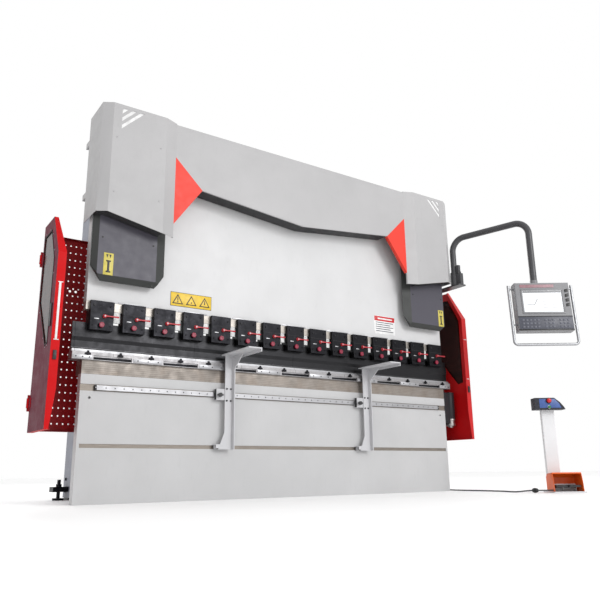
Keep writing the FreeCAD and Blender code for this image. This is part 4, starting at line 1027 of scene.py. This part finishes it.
def pendant_face():
    """Bezel round the display, the plain strip above it and the keys beside and below it."""
    form = Form(pendant_place)
    y = case_front
    rim_left, rim_right = glass_left - 0.014, glass_right + 0.014
    for left, right, low, high in (
        (rim_left, rim_right, glass_high, glass_high + 0.014),
        (rim_left, rim_right, glass_low - 0.014, glass_low),
        (rim_left, glass_left, glass_low, glass_high),
        (glass_right, rim_right, glass_low, glass_high),
    ):
        form.block((left, y - 0.0040, low), (right, y + 0.001, high), "case_paint", 0.0015)
    form.block((glass_left - 0.016, y - 0.0016, -0.052), (glass_right - 0.056, y + 0.001, -0.026),
               "pendant_strip", 0.001)
    key = ((0.026, 0), (0.054, 0.007), (0.054, -0.018), (0.026, -0.025))
    for index in range(4):
        outline = upright(key, y - 0.001, glass_right, glass_high + 0.006 - index * 0.040)
        form.plate(outline, (0, -0.003, 0), "sign_black", 0.0010)
    for inset, proud, low, sunk, high, look, edge in (
        (0.006, 0.0020, case_bottom + 0.012, 0.0035, keypad_top, "keypad_slate", 0.0010),
        (0.002, 0.0024, keypad_top, 0.0030, keypad_top + 0.006, "cast_drive", 0.0008),
        (0.002, 0.0025, case_bottom + 0.001, 0.0030, case_bottom + 0.011, "sign_black", 0.0010),
    ):
        form.block((case_left + inset, y - proud, low), (case_right - inset, y + sunk, high), look, edge)
    for row in range(3):
        for column in range(13):
            if column in (5, 9):
                continue
            x = case_left + 0.028 + column * 0.030
            z = keypad_top - 0.018 - row * 0.028
            form.block((x, y - 0.0034, z - 0.016), (x + 0.021, y - 0.0018, z), "keypad_key", 0.0006)
    form.piece("pendant_keys", "pendant")


def pendant_picture():
    """What the display shows: a heading bar, a bent profile and two columns of plain fields."""
    form = Form(pendant_place)
    y = -0.0432
    form.block((glass_left + 0.004, y - 0.0008, glass_high - 0.018),
               (glass_right - 0.004, y + 0.0002, glass_high - 0.004), "case_paint", 0.0002)
    bent = ((0.030, 0.060), (0.090, 0.060), (0.120, 0.112), (0.116, 0.115), (0.087, 0.064), (0.030, 0.064))
    form.plate(upright(bent, y, glass_left, glass_low), (0, -0.0007, 0), "case_paint", 0.0001)
    for row in range(5):
        for column in range(2):
            x = glass_left + 0.160 + column * 0.074
            z = glass_high - 0.034 - row * 0.026
            form.block((x, y - 0.0007, z - 0.012), (x + 0.060, y + 0.0002, z), "stand_white", 0.0002)
    form.piece("pendant_picture", "pendant")


def tube_collar():
    """Clamp ring and dark locking knob at the foot of the swinging tube."""
    foot = joint_place("pendant_swing")
    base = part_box("pendant_bracket")[1].z
    form = Form()
    form.turned([(0, 0.030), (0.002, 0.036), (0.020, 0.036), (0.022, 0.0285), (0.026, 0.0275)],
                (foot.x, foot.y, base - 0.080), UP, "tube_paint", 36)
    form.turned([(0, 0.010), (0.010, 0.010), (0.012, 0.022), (0.028, 0.021), (0.032, 0.012)],
                (foot.x, foot.y - 0.034, base - 0.068), FRONT, "black_plastic", 20)
    form.piece("tube_collar", "pendant_arm")


pendant_face()
pendant_picture()
tube_collar()


# ---- foot stand
button_x = -0.043
console_y = 0.119
stop_z = 0.670
pedal_front = 0.027
pedal_top = 0.050


def console_panel():
    """Blue front panel, the emergency stop's collar and the green button's bezel."""
    form = Form(stand_place)
    base = stop_z - 0.066
    y = console_y
    panel = ((-0.114, 0.012), (0.050, 0.012), (0.036, 0.045), (0.004, 0.080), (-0.114, 0.080))
    form.plate(upright(panel, y, 0, base), (0, -0.0012, 0), "panel_blue", 0.0006)
    form.turned([(0, 0.0230), (0.0008, 0.0230), (0.0012, 0.0210), (0.0012, 0.0095), (0.0006, 0.0090)],
                (button_x, y - 0.0012, stop_z), FRONT, "console_navy", 30)
    form.turned([(0, 0.0130), (0.0010, 0.0130), (0.0016, 0.0115), (0.0016, 0.0085), (0.0006, 0.0080)],
                (button_x, y - 0.0012, stop_z - 0.048), FRONT, "bright_steel", 24)
    form.piece("console_panel", "frame")


def mushroom():
    form = Form(stand_place)
    form.turned([(-0.009, 0.0069), (0.009, 0.0069), (0.0095, 0.0150), (0.011, 0.0170), (0.016, 0.0168),
                 (0.020, 0.0145), (0.0225, 0.0090), (0.023, 0.0030)],
                (button_x, console_y, stop_z), FRONT, "button_red", 30)
    made = form.piece("stop_mushroom", "estop")
    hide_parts("console_estop")


def pedal_ribs():
    """Raised treads on the two pedals."""
    for name, low in (("left", -0.090), ("right", 0.006)):
        form = Form(stand_place)
        for index in range(7):
            y = pedal_front + index * 0.013
            form.block((low + 0.008, y, pedal_top - 0.0006), (low + 0.076, y + 0.006, pedal_top + 0.0022),
                       "black_plastic", 0.0010)
        form.piece("pedal_ribs_" + name, "pedal_" + name)


console_panel()
mushroom()
pedal_ribs()


# ---- back and sides
def tank_fittings():
    """Sight glass, drain, lid bolts and lifting eyes of the oil tank."""
    form = Form()
    rear = tank_high.y - 0.010
    form.block((-0.62, rear - 0.0005, 1.86), (-0.58, rear + 0.012, 2.06), "black_plastic", 0.003)
    form.block((-0.608, rear + 0.0115, 1.885), (-0.592, rear + 0.0135, 2.035), "sign_yellow", 0.001)
    form.turned([(0, 0.024), (0.012, 0.024), (0.014, 0.016), (0.026, 0.016), (0.028, 0.011)],
                (0.70, rear, 1.83), BACK, "bright_steel", 6)
    for index in range(9):
        for y in (0.360, 0.795):
            form.screw((-0.86 + index * 0.215, y, 2.200), UP, 0.0075, "blackened_steel", 0.006)
    for side in (-1, 1):
        form.block((side * 0.82 - 0.006, 0.53, 2.2), (side * 0.82 + 0.006, 0.61, 2.245),
                   "frame_paint", 0.004)
    form.piece("tank_fittings", "frame")


def motor_details():
    """Cooling fins, fan cowl and terminal box of the motor, and the valves on the block."""
    form = Form()
    y, z = 0.570, 2.320
    half_fin = Vector((0.13, 0.0025, 0.010))
    for index in range(24):
        angle = 2 * math.pi * index / 24
        turn = Matrix.Rotation(-angle, 4, "X")
        centre = Vector((-0.14, y + 0.105 * math.sin(angle), z + 0.105 * math.cos(angle)))
        if centre.z > 2.26:
            form.block(centre - half_fin, centre + half_fin, "blue_paint", 0.001, turn)
    form.turned([(0, 0.096), (0.004, 0.104), (0.052, 0.106), (0.056, 0.101)],
                (-0.352, y, z), RIGHT, "blue_paint", 40)
    for index in range(4):
        inner = 0.020 + 0.020 * index
        form.turned([(0, inner), (0.0016, inner + 0.0005), (0.0016, inner + 0.006), (0, inner + 0.0065)],
                    (-0.352, y, z), -RIGHT, "sign_black", 36)
    form.block((-0.20, y - 0.055, 2.410), (-0.08, y + 0.055, 2.470), "blue_paint", 0.005)
    for index in range(3):
        x = 0.40 + index * 0.050
        form.block((x - 0.018, y + 0.079, 2.235), (x + 0.018, y + 0.125, 2.285), "cast_drive", 0.003)
        form.turned([(0, 0.016), (0.050, 0.016), (0.054, 0.012)],
                    (x, y + 0.124, 2.260), BACK, "black_plastic", 18)
    form.piece("power_pack_details", "frame")


def cabinet_details():
    """Louvres, three lamps and the isolator on its yellow plate, all on the cabinet's door."""
    form = Form()
    face = 1.659
    for bank in (0.78, 1.38):
        for index in range(8):
            z = bank + index * 0.018
            form.plate([(face - 0.001, 0.50, z), (face - 0.001, 0.72, z), (face + 0.006, 0.72, z - 0.008),
                        (face + 0.006, 0.50, z - 0.008)], (0.0012, 0, 0.0012), "body_paint", 0.0004)
    form.turned([(0, 0.032), (0.006, 0.032), (0.008, 0.024), (0.020, 0.022), (0.022, 0.018)],
                (face, 0.62, 1.20), RIGHT, "button_red", 24)
    form.block((face - 0.0005, 0.575, 1.155), (face + 0.003, 0.665, 1.245), "sign_yellow", 0.001)
    for index, look in enumerate(("button_green", "sign_yellow", "button_red")):
        form.turned([(0, 0.014), (0.005, 0.014), (0.006, 0.010), (0.012, 0.009), (0.014, 0.005)],
                    (face, 0.50 + index * 0.05, 1.33), RIGHT, look, 20)
    form.piece("cabinet_details", "cabinet_door")


def drive_cap():
    """Bright end cap with a flange under the crowning motor."""
    form = Form()
    at = (half_bed + 0.140, 0.045, 0.598)
    form.turned([(0, 0.0455), (0.004, 0.0462), (0.012, 0.0462), (0.014, 0.0420), (0.056, 0.0415),
                 (0.060, 0.0380), (0.0605, 0.0240), (0.0715, 0.0235), (0.0715, 0.0100)],
                at, -UP, "drive_cap", 36)
    form.piece("crowning_cap", "frame")


def frame_bolts():
    """Bolt heads where the ties, guides and cabinet are fixed through the side frames."""
    form = Form()
    for side in (-1, 1):
        for y, heights, radius, height in (
            (0.220, (0.12, 0.30, 0.50), 0.0120, 0.010),
            (0.320, (1.76, 1.98, 2.20, 2.40), 0.0120, 0.010),
            (0.860, (0.06, 0.14), 0.0100, 0.008),
        ):
            for z in heights:
                form.screw((side * frame_outer, y, z), RIGHT * side, radius, "blackened_steel", height)
    form.piece("frame_bolts", "frame")


def arm_details(name, x):
    """Fixing bolts, the deck's scale and the slide block's wipers on the arm whose web is at x."""
    low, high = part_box("support_arm_" + name)
    form = Form()
    for z in (0.72, 0.64):
        for across in (-0.018, 0.012):
            form.screw((x + across, -0.0740, z), FRONT, 0.0060, "blackened_steel", 0.005)
    for y in (-0.36, -0.22, -0.10):
        form.screw((x - 0.020, y, high.z), UP, 0.0050, "bright_steel", 0.0012)
    form.block((x + 0.0500, low.y + 0.010, high.z - 0.020), (x + 0.0510, -0.060, high.z - 0.006),
               "aluminium", 0.0003)
    for end in (-1, 1):
        edge = x - 0.030 + end * 0.0625
        form.block((edge, -0.0675, 0.646), (edge + end * 0.004, -0.0455, 0.717), "black_plastic", 0.0008)
    form.piece("arm_details_" + name, "arm_" + name)


tank_fittings()
motor_details()
cabinet_details()
drive_cap()
frame_bolts()
for name, x in (("left", -0.563), ("right", 0.645)):
    arm_details(name, x)
